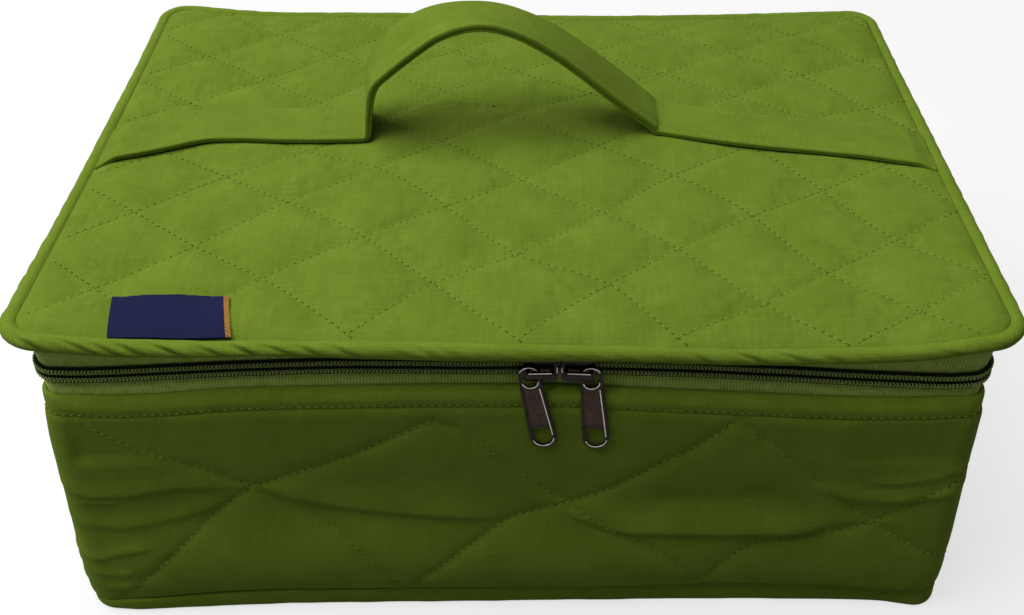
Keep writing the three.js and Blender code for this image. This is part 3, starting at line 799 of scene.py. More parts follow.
def blow_up(sheet):
    """Heights in mm after a light pressure from below, with spare cloth that grows towards the stitch rows."""
    cloth = sheet.modifiers.new("cloth", "CLOTH")
    for name, value in cloth_settings.items():
        setattr(cloth.settings, name, value)
    cloth.settings.effector_weights.gravity = 0.0
    cloth.point_cache.frame_start = 1
    cloth.point_cache.frame_end = padding_frames
    for number in range(1, padding_frames + 1):
        bpy.context.scene.frame_set(number)
    blown = final_mesh(sheet)
    places = np.zeros(len(blown.vertices) * 3)
    blown.vertices.foreach_get("co", places)
    bpy.context.scene.frame_set(1)
    bpy.data.meshes.remove(blown)
    bpy.data.objects.remove(sheet)
    return places[2::3] / mm


def simulated_padding():
    """The blown sheet's height in mm, as a function of places on the lid."""
    xs, ys = (np.arange(-reach, reach + 0.1, padding_step) for reach in padding_reach)
    x, y = np.meshgrid(xs, ys)
    near, _ = lid_rows(x, y, 1)
    edge = np.minimum(padding_reach[0] - np.abs(x), padding_reach[1] - np.abs(y))
    sheet = padding_sheet(xs, ys)
    held = (near < 0.55 * padding_step) | (edge < 1.5 * padding_step)
    add_weights(sheet, "held", held.astype(float))
    add_weights(sheet, "gathered", np.exp(-near / 5))
    height = np.clip(blow_up(sheet).reshape(x.shape), -0.5, 2.0)

    def padding(px, py):
        across = np.clip((px - xs[0]) / padding_step, 0, len(xs) - 1.001)
        along = np.clip((py - ys[0]) / padding_step, 0, len(ys) - 1.001)
        i, j = across.astype(int), along.astype(int)
        s, t = smooth(across - i), smooth(along - j)
        return four_way((height[j, i], height[j, i + 1], height[j + 1, i], height[j + 1, i + 1]), s, t)

    return padding


lid_padding = simulated_padding()
pillow_height = 0.6
groove = 2.0 # how fast the cloth climbs from a stitch row
blown_share = 1.35 # how strongly the blown padding shows
seam_drop = 2.05 # from the lid's height down to the cloth in its seam
seam_climb = 1.25 # from there up to the flat of the lid


def edge_distance(x, y):
    """Distance in mm from points on the lid to the case's outline."""
    past_x, past_y = np.abs(x) - straight_x, np.abs(y) - straight_y
    round_corner = np.hypot(np.clip(past_x, 0, None), np.clip(past_y, 0, None))
    return corner_radius - round_corner - np.minimum(np.maximum(past_x, past_y), 0)


def lid_surface(x, y):
    """Height of the lid's cloth: padding between the stitch rows, creases, and the lid's own bend."""
    near, pillow = lid_rows(x, y, groove)
    free = 1 - bell(near / 1.6)
    seam = 1 - np.exp(-np.clip(edge_distance(x, y) + lid_cloth_offset, 0, None) / 3.2)
    under_strap = smooth((17.5 - np.abs(y - strap_middle(x))) / 4) * smooth((np.abs(x) - 60) / 6)
    loose = 0.45 * soft_noise(x, y, 34, 5) + 0.25 * soft_noise(x * 0.5, y * 1.6, 13, 6)
    relief = (pillow_height + loose) * pillow + blown_share * lid_padding(x, y) * free
    relief = relief + folds(x, y, lid_wrinkles)
    relief = relief * (1 - 0.75 * under_strap)
    return lid_top - seam_drop + seam * (seam_climb + relief) + lid_bend(x, y)


def lid_slab(name, material, top, bottom, inset, step):
    """A flat piece with the lid's outline between two surfaces, given as functions of x and y."""
    radius = corner_radius + inset
    turn = np.radians(np.linspace(90, 0, 12))[:-1]
    corner = straight_y + radius * np.sin(turn)
    middle = np.linspace(-straight_y, straight_y, round(2 * straight_y / step) + 1)
    rows = np.concatenate([-corner, middle, corner[::-1]])
    past = np.clip(np.abs(rows) - straight_y, 0, radius)
    half = straight_x + np.sqrt(np.maximum(radius ** 2 - past ** 2, 0))
    across = np.linspace(-1, 1, round(2 * (straight_x + radius) / step) + 1)
    below = across[::-8]
    x = np.concatenate([half[:, None] * across, half[:, None] * below], axis=1)
    y = np.broadcast_to(rows[:, None], x.shape)
    top_part = np.arange(x.shape[1]) < len(across)
    z = np.where(top_part, top(x, y), bottom(x, y))
    rings = np.stack([x, y, z], axis=-1)
    uv = rings[..., :2]
    return skin(name, rings, np.concatenate([uv, uv[:, :1]], axis=1), material)


def level(height):
    return lambda x, y: np.full(np.shape(x), height)


def make_lid():
    flat = lambda height: lambda x, y: height + lid_bend(x, y)
    cover = lid_slab("lid_quilted_cover", cotton, lid_surface, flat(lid_cover_bottom), lid_cloth_offset, 1.15)
    settle(cover, "lid", "quilted_cotton", "lid_cover")

    def hanging(x, y):
        slack = smooth(edge_distance(x, y) / 60)
        return lid_lining_z + 0.35 * slack * soft_noise(x, y, 40, 11) + 0.2 * soft_noise(x, y * 0.4, 14, 12)

    lining_sheet = lid_slab("lid_lining_cloth", lining, flat(lid_lining_top), hanging, lid_lining_offset, 3.0)
    settle(lining_sheet, "lid", "lining_cloth", "lid_lining")


def row_lines(rows, numbers):
    """The numbered stitch rows of a family over the lid, each as points along x."""
    x = np.arange(-183.0, 183.5, 1.0)
    lines = []
    for number in numbers:
        y = np.zeros_like(x)
        for _ in range(12):
            slope = (rows(x, y + 1) - rows(x, y - 1)) / 2
            y = y - np.clip((rows(x, y) - number) / slope, -60, 60)
        inside = edge_distance(x, y) > 0.2
        breaks = np.flatnonzero(np.diff(inside.astype(int)))
        for part in np.split(np.arange(len(x)), breaks + 1):
            if inside[part[0]] and len(part) > 3:
                lines.append(np.stack([x[part], y[part], lid_surface(x[part], y[part])], axis=1))
    return lines


def upwards(points):
    return np.broadcast_to(np.array([0.0, 0.0, 1.0]), points.shape)


def sew_lid():
    lines = row_lines(rising_rows, range(-4, 8)) + row_lines(falling_rows, range(-3, 11))
    sew("lid_quilting", lines, [upwards] * len(lines), quilting_stitch, "lid", "quilted_cotton", lid_hole)


# Piping: cord under cloth cut on the bias, which pulls into slanting folds
fold_spacing = 13
fold_depth = (0.6, 1.1) # each fold draws its own between these
fold_slope = (1.5, 2.6)
fold_reach = (3.5, 6.0)
fold_middle = (2.0, 5.0)
piping_step = 0.9
piping_sides = 32


def piping_rings(u, offset, z, radius, strain, seed):
    """Sections of (offset, height) with folds that slant down the outside, each sharp on one side."""
    angle = 2 * np.pi * np.arange(piping_sides) / piping_sides
    down = radius * ((np.pi / 2 - angle + np.pi) % (2 * np.pi) - np.pi)
    swell = 0.1 * soft_noise(u[:, None] + 6 * np.sin(angle), angle * 6, 4.2, seed, True)
    swell += 0.25 * soft_noise(u, u * 0, 60, seed + 1, True)[:, None]
    free = smooth((down + 0.4) / 2.8) * smooth((8.5 - down) / 2.6)
    pull = np.random.default_rng(seed)
    count = round(whole_round / fold_spacing)
    for k in range(count):
        place = -half_round + (k + pull.uniform(0.1, 0.9)) * whole_round / count
        depth, slope = pull.uniform(*fold_depth), pull.uniform(*fold_slope)
        reach, middle = pull.uniform(*fold_reach), pull.uniform(*fold_middle)
        past = (u[:, None] - place - slope * down + half_round) % whole_round - half_round
        shape = 0.75 * bell((past - 4.4) / 3.6) - 1.15 * bell(past / 1.9)
        swell += depth * strain[:, None] * shape * bell((down - middle) / reach) * free
    reach = radius - 0.35 + swell
    return np.stack([offset + reach * np.cos(angle), z[:, None] + reach * np.sin(angle)], axis=-1)


def even_round(step):
    """Runs at even steps right round the case."""
    count = round(whole_round / step)
    return -half_round + whole_round * (np.arange(count) + 0.5) / count


def make_lid_piping():
    u = even_round(piping_step)
    x, y, _, _ = outline(u, lid_piping_offset)
    strain = 0.12 + 1.1 * bell((u + 130) / 80) + 0.6 * bell((u - 92) / 22)
    strain = strain + 0.15 * np.abs(soft_noise(u, u * 0, 70, 31, True))
    z = lid_piping_z + lid_bend(x, y)
    sections = piping_rings(u, lid_piping_offset, z, lid_piping_radius, np.clip(strain, 0, 1.3), 32)
    cord = sweep_round("lid_corded_piping", u, sections, piping_cloth, True)
    settle(cord, "lid", "piping_cotton", "lid_piping")


# How the case departs from straight lines along its run: the walls' low edge, and how far they stand out
base_seam = eased(
    [-260, -200, -177, -153, -130, -108, -81, -47, 0, 38, 65, 91, 118, 140, 167, 179, 205, 260],
    [8.6, 7.0, 6.0, 7.8, 9.7, 10.6, 10.6, 11.0, 11.5, 11.9, 13.2, 14.6, 14.0, 14.2, 12.3, 13.5, 12.0, 8.6],
    spread=7.0,
)
base_bow = eased(
    [-280, -188, -176, -169, -155, -120, -94, -41, 0, 38, 65, 96, 149, 162, 173, 188, 280],
    [0, 2.0, 3.0, 4.3, 3.5, 1.5, 0.2, -0.8, -1.5, -2.4, -3.0, -3.3, -3.3, -2.8, -0.8, 1.6, 0],
    spread=6.0,
)
front_bow = eased(
    [-200, -176, -155, -120, -94, -41, 0, 38, 65, 96, 149, 176, 200],
    [4.2, 4.0, 3.6, 2.2, 1.4, 0.6, 0.2, -0.2, -0.5, -0.9, -1.0, -0.8, -0.8],
)
left_bulge = eased([8, 23, 45, 64, 78, 98, 112], [0.8, 1.9, 2.0, 2.2, 2.4, 1.6, 0.2], spread=6.0)
right_bulge = eased([0, 10, 26, 48, 69, 100, 112], [1.2, 2.4, 3.0, 2.2, 1.2, 0.3, 0.1], spread=6.0)


def wall_bow(u, z):
    """How far the walls stand out of flat: the front is hollow above and full below, the corners bulge."""
    across_front = smooth((200 - np.abs(u)) / 14)
    bow = front_bow(u) * np.clip(1 - z / 75, 0, 1) ** 1.2 * across_front
    full = 3.4 * bell((z - 30) / 19) * smooth((z - base_seam(u)) / 10)
    hollow = 1.7 * bell((z - 62) / 20) * smooth((u + 175) / 60) * smooth((178 - u) / 40)
    full = full * smooth((u + 176) / 30) * (0.25 + 0.75 * smooth((120 - u) / 90)) * smooth((178 - u) / 40)
    from_left = np.abs(u + 181) / np.where(u > -181, 40, 100)
    from_right = np.abs(u - 181) / np.where(u < 181, 40, 100)
    return bow + full - hollow + left_bulge(z) * bell(from_left) + right_bulge(z) * bell(from_right)


bound_edge_step = 1.5
bound_edge_sides = 28
bound_edge_half = 3.5 # half of its width
bound_edge_low = 0.25


def make_base_piping():
    """The bound edge under the walls: cord and folded cloth, taller where the seam rises."""
    u = even_round(bound_edge_step)
    angle = 2 * np.pi * np.arange(bound_edge_sides) / bound_edge_sides
    across, upward = (np.sign(part) * np.sqrt(np.abs(part)) for part in (np.cos(angle), np.sin(angle)))
    low, high = bound_edge_low, base_seam(u)[:, None]
    slack = 0.22 * soft_noise(u[:, None], angle * 8, 9, 42, True)
    slack = slack + 0.25 * soft_noise(u[:, None], angle * 3, 34, 43, True)
    offset = base_piping_offset + 0.35 + base_bow(u)[:, None] + (bound_edge_half + slack) * across
    z = (low + high) / 2 + (high - low) / 2 * upward
    cord = sweep_round("base_bound_edge", u, np.stack([offset, z], axis=-1), piping_cloth, True)
    settle(cord, "case", "piping_cotton", "base_piping")


# Walls: two zigzag rows of quilting that cross halfway up the wall, all the way round, as (run, height)
front_rows = [
    [(-180, 119), (-166, 107.9), (-149, 95.1), (-128, 85.4), (-105, 73), (-81, 55.6), (-62, 35.5),
     (-46, 14.5), (-18, 40.6), (-1, 55), (22, 63.5), (40, 71.3), (59, 86.9), (74, 98), (88, 111.8),
     (126, 74.7), (149, 54.5), (155, 49.6), (170, 39.7), (181, 34.2)],
    [(-178, -4), (-171, 5.8), (-156, 23.5), (-140, 39.7), (-122, 58.4), (-105, 73), (-89, 79.9),
     (-63, 91.4), (-31, 110.6), (-22, 107.3), (-12, 98.1), (1, 84.3), (22, 63.5), (41, 50.4), (62, 36.8),
     (81, 18), (88, 28.7), (96, 37.5), (104, 41.5), (114, 44.7), (128, 47.1), (140, 50.3), (150, 54.9),
     (156, 60.3), (163, 67), (169, 73.3), (179, 79.4)],
]
row_spacing = 125.4 # from one crossing to the next
row_turns = {True: 111, False: 13} # heights where a row turns, at the top and at the bottom
left_crossings = [(-606.6, 64), (-481.2, 62), (-355.8, 70), (-230.4, 64)]
right_crossings = [(269.4, 62), (394.8, 58), (520.2, 66)]


def zigzag(crossings, at_top):
    """A row through crossings that turns before each of them, under the hem or above the base."""
    row = []
    for run, height in crossings:
        row += [(run - row_spacing / 2, row_turns[at_top]), (run, height)]
        at_top = not at_top
    return row


wall_rows = []
for front_row, at_top in zip(front_rows, (True, False)):
    last = (right_crossings[-1][0] + row_spacing / 2, row_turns[at_top])
    wall_rows.append(zigzag(left_crossings, at_top) + front_row + zigzag(right_crossings, not at_top) + [last])

# Tucks and creases in the walls: height, width above and below, and the line, all in mm
wall_tucks = [
    (1.2, 6, 1.1, [(-192, 76), (-180, 74.3), (-172, 70.7), (-156, 70.8), (-134, 74.3), (-115, 73),
                   (-105, 73)]),
    (0.9, 1.0, 1.5, [(-184, 73), (-180, 72.1), (-174, 68), (-164, 67.1), (-158, 68.3)]),
    (2.0, 9, 1.6, [(-108, 73), (-100, 71.6), (-85, 66.8), (-70, 63.2), (-50, 60.1), (-34, 59), (-12, 56.7),
                   (4, 57)]),
    (0.9, 4.5, 2.2, [(-190, 55), (-175, 55), (-160, 53.8), (-138, 57.5), (-122, 62.9), (-111, 68.9)]),
    (1.0, 3.5, 1.4, [(-192, 37), (-181, 35.4), (-176, 33.9), (-165, 38.7), (-148, 42.8)]),
    (0.8, 2.4, 1.5, [(-190, 31), (-180, 29), (-175, 25.3), (-165, 25.9), (-156, 29.2)]),
    (0.8, 2.5, 1.7, [(-190, 20), (-178, 18), (-173, 15.7), (-162, 18.1), (-157, 21.8)]),
    (0.4, 1, 1, [(-167, 93.2), (-157, 90.9), (-145, 89.2)]),
    (2.6, 10, 2.0, [(14, 63), (21, 60.1), (36, 53.4), (43, 50.4), (68, 49.8), (88, 49.2), (114, 49.4),
                    (122, 50.9), (129, 54.8), (139, 55.6), (148, 57)]),
    (-0.8, 6, 6, [(52, 65), (61, 65.6), (87, 67.2), (112, 68.8), (120, 69)]),
    (1.8, 5, 1.8, [(120, 76), (126, 73.3), (133, 70.4), (142, 69), (155, 68.7), (165, 69.9), (176, 73.6),
                   (190, 78)]),
    (0.9, 3, 1.8, [(140, 77), (146, 78.5), (155, 78.5), (168, 81.4), (177, 85.7), (190, 88)]),
    (-0.9, 3.5, 3.5, [(-330, 60), (-290, 66), (-240, 62), (-214, 70)]),
    (1.1, 6, 2.0, [(-300, 84), (-262, 79), (-232, 82), (-205, 77)]),
    (1.0, 5, 2.0, [(-262, 36), (-236, 33), (-212, 38), (-196, 36)]),
    (-0.9, 3.5, 3.5, [(340, 58), (300, 64), (250, 60), (215, 66)]),
    (1.1, 6, 2.0, [(205, 80), (236, 76), (270, 80), (300, 84)]),
    (1.0, 5, 2.0, [(198, 40), (222, 36), (250, 38), (276, 34)]),
    (1.2, 7, 2.2, [(-560, 62), (-520, 56), (-480, 64)]),
    (1.2, 7, 2.2, [(480, 68), (525, 60), (570, 66)]),
]


wall_hollow = -2.45 # the cloth never goes in further than this


def row_nearness(u, z):
    """Distance in mm from points on the wall to the nearest stitch row."""
    nearest = np.full(np.broadcast(u, z).shape, 1e9)
    for row in wall_rows:
        for shift in (-whole_round, 0, whole_round):
            line = np.add(row, (shift, 0))
            if line[-1, 0] > -half_round - 20 and line[0, 0] < half_round + 20:
                nearest = np.minimum(nearest, line_distance(u, z, line)[0])
    return nearest


def wall_relief(u, z):
    """How far the wall's cloth stands out: pillows between stitch rows, tucks and soft waves."""
    nearest = row_nearness(u, z)
    pillow = 1 - np.exp(-nearest / 2.9)
    pucker = 0.2 * soft_noise(u, z, 3.6, 51, True) + 0.15 * soft_noise(u, z, 8, 52, True)
    loose = 0.4 * soft_noise(u, z, 42, 53, True) + 0.15 * soft_noise(u, z * 1.8, 16, 54, True)
    at_corner = 1 - 0.6 * bell((np.abs(u) - 184) / 12)
    turning = 1 - 0.7 * bell((np.abs(u) - 189) / 8)
    relief = at_corner * (1.3 * pillow - 0.3 + np.exp(-nearest / 4) * pucker + loose)
    relief = relief + turning * folds(u, z, wall_tucks)
    low, high = base_seam(u), wall_top + hem_height(u)
    ends = smooth((z - low + 1) / 5) * smooth((high - z + 0.5) / 5)
    tucked_in = 1.2 * (1 - smooth((z - low + 1.0) / 3)) + 1.0 * (1 - smooth((high + 0.5 - z) / 3))
    height = ends * relief + wall_bow(u, z) - tucked_in
    under_pulls = smooth((z - 86) / 7) * smooth((176 - np.abs(u)) / 6) * smooth((np.abs(u) - 128) / 10)
    height = height - under_pulls * np.clip(height - 0.4, 0, None)
    return np.maximum(height, wall_hollow)


wall_step = 1.4
wall_levels = 104
wall_under_edge = 3 # how far the walls reach down behind the bound edge
wall_under_hem = 1.0


def make_walls():
    u = even_round(wall_step)
    low = base_seam(u)[:, None] - wall_under_edge
    high = wall_top + wall_under_hem + hem_height(u)[:, None]
    z = low + (high - low) * np.linspace(0, 1, wall_levels)
    offset = wall_relief(np.broadcast_to(u[:, None], z.shape), z)
    behind = np.full((len(u), 1), -cover_thickness - 0.1)
    sections = np.stack([
        np.concatenate([offset, behind, behind], axis=1), np.concatenate([z, high, low], axis=1),
    ], axis=-1)
    cover = sweep_round("wall_quilted_cover", u, sections, cotton, True)
    settle(cover, "case", "quilted_cotton", "wall_cover")


def wall_out(points):
    """The outward direction at points on the walls."""
    x = np.clip(points[:, 0], -straight_x, straight_x)
    y = np.clip(points[:, 1], -straight_y, straight_y)
    flat = np.stack([points[:, 0] - x, points[:, 1] - y, np.zeros(len(points))], axis=1)
    return unit(flat)


def wall_line(row):
    """A row of (run, height) laid on the quilted wall, as points in mm."""
    row = np.asarray(row, float)
    passed = passed_along(row)
    at = np.arange(0, passed[-1], 0.8)
    u, z = resampled(row, passed, at).T
    u = (u + half_round) % whole_round - half_round
    keep = (z > base_seam(u) + 2) & (z < wall_top - 1.5 + hem_height(u))
    u, z = u[keep], z[keep]
    x, y, _, _ = outline(u, wall_relief(u, z))
    return np.stack([x, y, z], axis=1)


def sew_walls():
    lines = []
    for row in wall_rows:
        points = wall_line(row)
        gaps = np.diff(passed_along(points))
        lines += [part for part in np.split(points, np.flatnonzero(gaps > 4) + 1) if len(part) > 5]
    sew("wall_quilting", lines, [wall_out] * len(lines), quilting_stitch, "case", "quilted_cotton", wall_hole)


# Hem: the folded band along the top of the front and side walls
def hem_waves(u):
    return 0.2 * soft_noise(u, u * 0, 50, 61, True) + 0.1 * soft_noise(u, u * 0, 14, 62, True)


def hem_flush(u):
    """How far the hem is pulled flat against the wall: fully at the front corners and at its ends."""
    return bell((np.abs(u) - 186) / 14) + bell((np.abs(u) - zip_end) / 9)


# The rolled hem across its width, as (offset, height) from its low edge
hem_profile = [
    (-2.6, -1.0), (-0.4, -1.4), (0.1, -0.7), (0.05, -0.1), (0.35, 0.7), (0.55, 1.6), (0.75, 2.4),
    (0.9, 3.2), (0.85, 4.1), (0.65, 5.1), (0.3, 6.1), (-0.2, 7.0), (-0.9, 7.9), (-1.7, 8.5), (-2.5, 8.7),
    (-2.6, 6.5),
]


def make_hem():
    u = np.linspace(-zip_end, zip_end, 900)
    wave = hem_waves(u)[:, None]
    profile = np.array(hem_profile)
    share = np.clip(profile[:, 1] / 8.6, 0, 1)
    small = 0.1 * soft_noise(u[:, None], profile[:, 1] + profile[:, 0], 5.0, 63, True)
    offset = profile[:, 0] + (wave * share + small) * (profile[:, 0] > -1)
    flush = hem_flush(u)[:, None]
    offset = np.where(offset > -1, offset * (1 - 0.8 * flush) - 0.7 * flush, offset)
    z = hem_bottom + hem_height(u)[:, None] + profile[:, 1] + 0.3 * wave
    # the band's cloth is painted lighter than the poplin elsewhere: painted light
    band = sweep_round("hem_rolled_band", u, np.stack([offset, z], axis=-1), hem_cloth_painted_lighter, False)
    settle(band, "case", "piping_cotton", "hem_band")
    along = np.linspace(-zip_end + 3, zip_end - 3, 1200)
    x, y, _, _ = outline(along, 0.15 - 0.75 * hem_flush(along))
    line = np.stack([x, y, hem_bottom + hem_height(along) - 0.1 + 0.3 * hem_waves(along)], axis=1)
    sew("hem_topstitch", [line], [wall_out], hem_stitch, "case", "piping_cotton", hem_hole, 0.5)


# Zip: two tapes, two coils with their braided sewing threads
zip_steps = 620
tape_bottom = 111.0
tape_top = 147.0
tape_overlap = 3.2 # how far a tape reaches behind its coil
tape_turnout = 2.0 # the upper tape's top edge comes out to the piping
coil_pitch = 1.4
lower_braid_z = 135.95
upper_braid_z = 139.6
braid_size = (1.8, 0.8, 0.9)
braid_spread = 0.52 # from the middle of a braid to each of its two strands
braid_slant = 0.75
turn_size = (0.85, 1.5, 0.9)
turn_height = 0.55 # from the middle of the zip


def band_section(inner, outer, low, high, soft=0.25):
    """Sections of a flat band whose edges may differ from run to run."""
    low, high = np.broadcast_arrays(low, high)
    corners = [(inner, low), (outer, low), (outer, high), (inner, high)]
    points = []
    for k, (offset, z) in enumerate(corners):
        for other in (corners[k - 1], corners[(k + 1) % 4]):
            step = np.sign(other[0] - offset) * soft
            step_z = np.sign(np.mean(other[1] - z)) * soft
            points.append(np.stack([np.full(low.shape, offset + step), z + step_z], axis=-1))
    return np.stack(points, axis=1)


def make_tapes():
    u = np.linspace(-zip_end, zip_end, zip_steps)
    low = lower_coil_bottom + tape_overlap + zip_height(u)
    high = upper_coil_top - tape_overlap + zip_height(u)
    x, y, _, _ = outline(u)
    for word, body, ends in (
        ("lower", "case", (tape_bottom, low)),
        ("upper", "lid", (high, tape_top + lid_bend(x, y))),
    ):
        sections = band_section(tape_inside, tape_outside, *ends)
        sections[..., 0] += 0.12 * soft_noise(u, u * 0, 30, 71, True)[:, None]
        if body == "lid":
            sections[:, 4:, 0] += tape_turnout
        tape = sweep_round(word + "_zip_tape", u, sections, tape_cloth_partly_painted_light, False)
        settle(tape, body, "zip_tape", word + "_tape")


def make_coils():
    u = np.linspace(-zip_end, zip_end, zip_steps)
    for word, body, low, high in (
        ("lower", "case", lower_coil_bottom + 0.2, chain_z - 0.1),
        ("upper", "lid", chain_z + 0.1, upper_coil_top - 0.5),
    ):
        rise = zip_height(u)
        sections = band_section(coil_inside, coil_outside - 0.9, low + rise, high + rise, 0.7)
        core = sweep_round(word + "_coil_core", u, sections, nylon, False)
        settle(core, body, "zip_coil", word + "_coil")


def chain_places(z, lift):
    """Places along the zip at one height, one coil turn apart, with the directions along and out there."""
    u = np.arange(-zip_end + 1, zip_end - 1, coil_pitch)
    before, here, after = (
        ring_path(u + shift, coil_outside + lift, z + zip_height(u + shift)) for shift in (-0.3, 0, 0.3)
    )
    _, _, out_x, out_y = outline(u)
    return here, after - before, np.stack([out_x, out_y, np.zeros(len(u))], axis=1)


def make_chain():
    for word, body, middle, side in (
        ("lower", "case", lower_braid_z, -1),
        ("upper", "lid", upper_braid_z, 1),
    ):
        for k, way in enumerate((1, -1)):
            places = chain_places(middle + way * braid_spread, -0.6)
            strand = beads(f"{word}_zip_braid_{k + 1}", *places, braid_size, braid, way * side * braid_slant)
            settle(strand, body, "zip_coil")
        places = chain_places(chain_z + side * turn_height, -0.8)
        turns = beads(f"{word}_zip_turns", *places, turn_size, nylon)
        settle(turns, body, "zip_coil")


# Sliders keep their solid shape, with its edges rounded; bright strips on the crown's top edge, which hands
# rub, and at the nose are painted highlights
slider_face = 4.6
crown_top = 7.8
bright_strip_size = (0.3, 0.5) # height and width of a bright strip on an edge: painted highlight


def zip_slant(side):
    return math.atan(left_zip_slope if side > 0 else right_zip_slope) * side


def slider_frame(side):
    """Where a slider sits: x along the zip, y up and z out of the wall from the tape's back face."""
    middle = slider_meeting_point - side * slider_spacing / 2
    height = chain_z - abs(math.tan(zip_slant(side)) * (middle - slider_meeting_point))
    stand = Matrix.Translation((middle * mm, -(case_depth / 2 + tape_inside) * mm, height * mm))
    return stand @ Matrix.Rotation(math.pi / 2, 4, "X") @ Matrix.Rotation(zip_slant(side), 4, "Z")


def clean(mesh, material, flatten=False):
    """Joins the points that meet, merges flat faces or turns the faces outward, and gives the finish."""
    shape = bmesh.new()
    shape.from_mesh(mesh)
    bmesh.ops.remove_doubles(shape, verts=shape.verts, dist=1e-6)
    if flatten:
        bmesh.ops.dissolve_limit(shape, angle_limit=math.radians(1), verts=shape.verts, edges=shape.edges)
    else:
        bmesh.ops.recalc_face_normals(shape, faces=shape.faces)
    shape.to_mesh(mesh)
    shape.free()
    mesh.materials.clear()
    mesh.materials.append(material)
    mesh.shade_smooth()


def make_sliders():
    for word, side in (("left", 1), ("right", -1)):
        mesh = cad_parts["slider_" + word].data.copy()
        clean(mesh, black_nickel, flatten=True)
        piece = add_object("zip_slider_" + word, mesh)
        edge = piece.modifiers.new("rounded_edges", "BEVEL")
        edge.width = 0.28 * mm
        edge.segments = 3
        edge.limit_method = "ANGLE"
        edge.angle_limit = math.radians(35)
        edge.harden_normals = True
        settle(piece, word + "_slider", "gunmetal", "slider_" + word)
        # painted highlights: a bright strip along the crown's top edge and a glint at the nose
        bright_strips = [
            ([(-side * 4.4, 1.02), (side * 4.2, 1.02)], crown_top - 0.12),
            ([(side * 6.15, -1.4), (side * 6.25, 1.2)], slider_face - 0.1),
        ]
        for k, (line, lift) in enumerate(bright_strips):
            name = f"slider_painted_glint_{word}_{k + 1}"
            glint = rim_tube(name, line, *bright_strip_size, lift, bright_edge_and_highlight, looped=False)
            glint.data.transform(slider_frame(side))
            settle(glint, word + "_slider", "gunmetal")


# Pulls: a sunk cast panel in a raised rim, with a round eye and an open end
pull_length = 39
pull_thickness = 1.4
panel_thickness = 0.75
pull_back = 4.9
pull_rim = 1.4
pull_top_radius = 4.2
pull_low_radius = 5.2
eye_above = 1.75
eye_width = 5.6
eye_length = 9
slot_length = 9.4


def arc(y, radius, first, last):
    """Points round (0, y) from one angle to another."""
    angles = np.radians(np.linspace(first, last, 20))
    return [(radius * math.cos(a), y + radius * math.sin(a)) for a in angles]


def round_ended(high, low, high_radius, low_radius):
    """An outline with a half circle about each of two heights."""
    return arc(high, high_radius, 0, 180) + arc(low, low_radius, 180, 360)


def open_ended(top, low, half):
    """An outline that is straight across the top and round below."""
    return [(half, top), (-half, top)] + arc(low, half, 180, 360)


def rim_tube(name, path, height, width, lift, material, looped=True):
    """A rounded rim along a flat path."""
    path = np.array(path)
    closed = np.concatenate([path, path[:1]]) if looped else path
    passed = passed_along(closed)
    count = max(24, round(passed[-1] / 0.45))
    at = np.linspace(0, passed[-1], count, endpoint=not looped)
    middle = resampled(closed, passed, at)
    ahead = np.gradient(middle, axis=0)
    if looped:
        ahead = np.roll(middle, -1, axis=0) - np.roll(middle, 1, axis=0)
    ahead = unit(ahead)
    side = np.stack([ahead[:, 1], -ahead[:, 0]], axis=1)
    section = circle(0.5, 12) * (width, height)
    flat = middle[:, None] + side[:, None] * section[None, :, :1]
    depth = np.broadcast_to(lift + section[:, 1], flat.shape[:2])
    rings = np.concatenate([flat, depth[..., None]], axis=-1)
    far = np.append(at, passed[-1]) if looped else at
    uv = grid(far, around_section(section))
    return skin(name, rings, uv, material, looped=looped)


def flat_plate(name, outlines, thickness, lift, material):
    """A plate with holes from closed flat outlines, its edges rounded."""
    curve = bpy.data.curves.new(name, "CURVE")
    curve.dimensions = "2D"
    curve.fill_mode = "BOTH"
    curve.extrude = (thickness / 2 - 0.12) * mm
    curve.bevel_depth = 0.12 * mm
    curve.bevel_resolution = 1
    for points in outlines:
        spline = curve.splines.new("POLY")
        spline.points.add(len(points) - 1)
        for point, (x, y) in zip(spline.points, points):
            point.co = (x * mm, y * mm, 0, 1)
        spline.use_cyclic_u = True
    holder = add_object(name + "_outline", curve)
    mesh = final_mesh(holder)
    bpy.data.objects.remove(holder)
    mesh.transform(Matrix.Translation((0, 0, lift * mm)))
    clean(mesh, material)
    mesh.set_sharp_from_angle(angle=math.radians(40))
    mesh.name = name
    return add_object(name, mesh)


def pull_frame(side, tilt):
    """Where a pull hangs: its own flat frame, set on the crown of its slider."""
    stand = slider_frame(side) @ Matrix.Translation((-side * crown_span / 2 * mm, 0, 0))
    return stand @ Matrix.Rotation(math.radians(tilt) - zip_slant(side), 4, "Z")


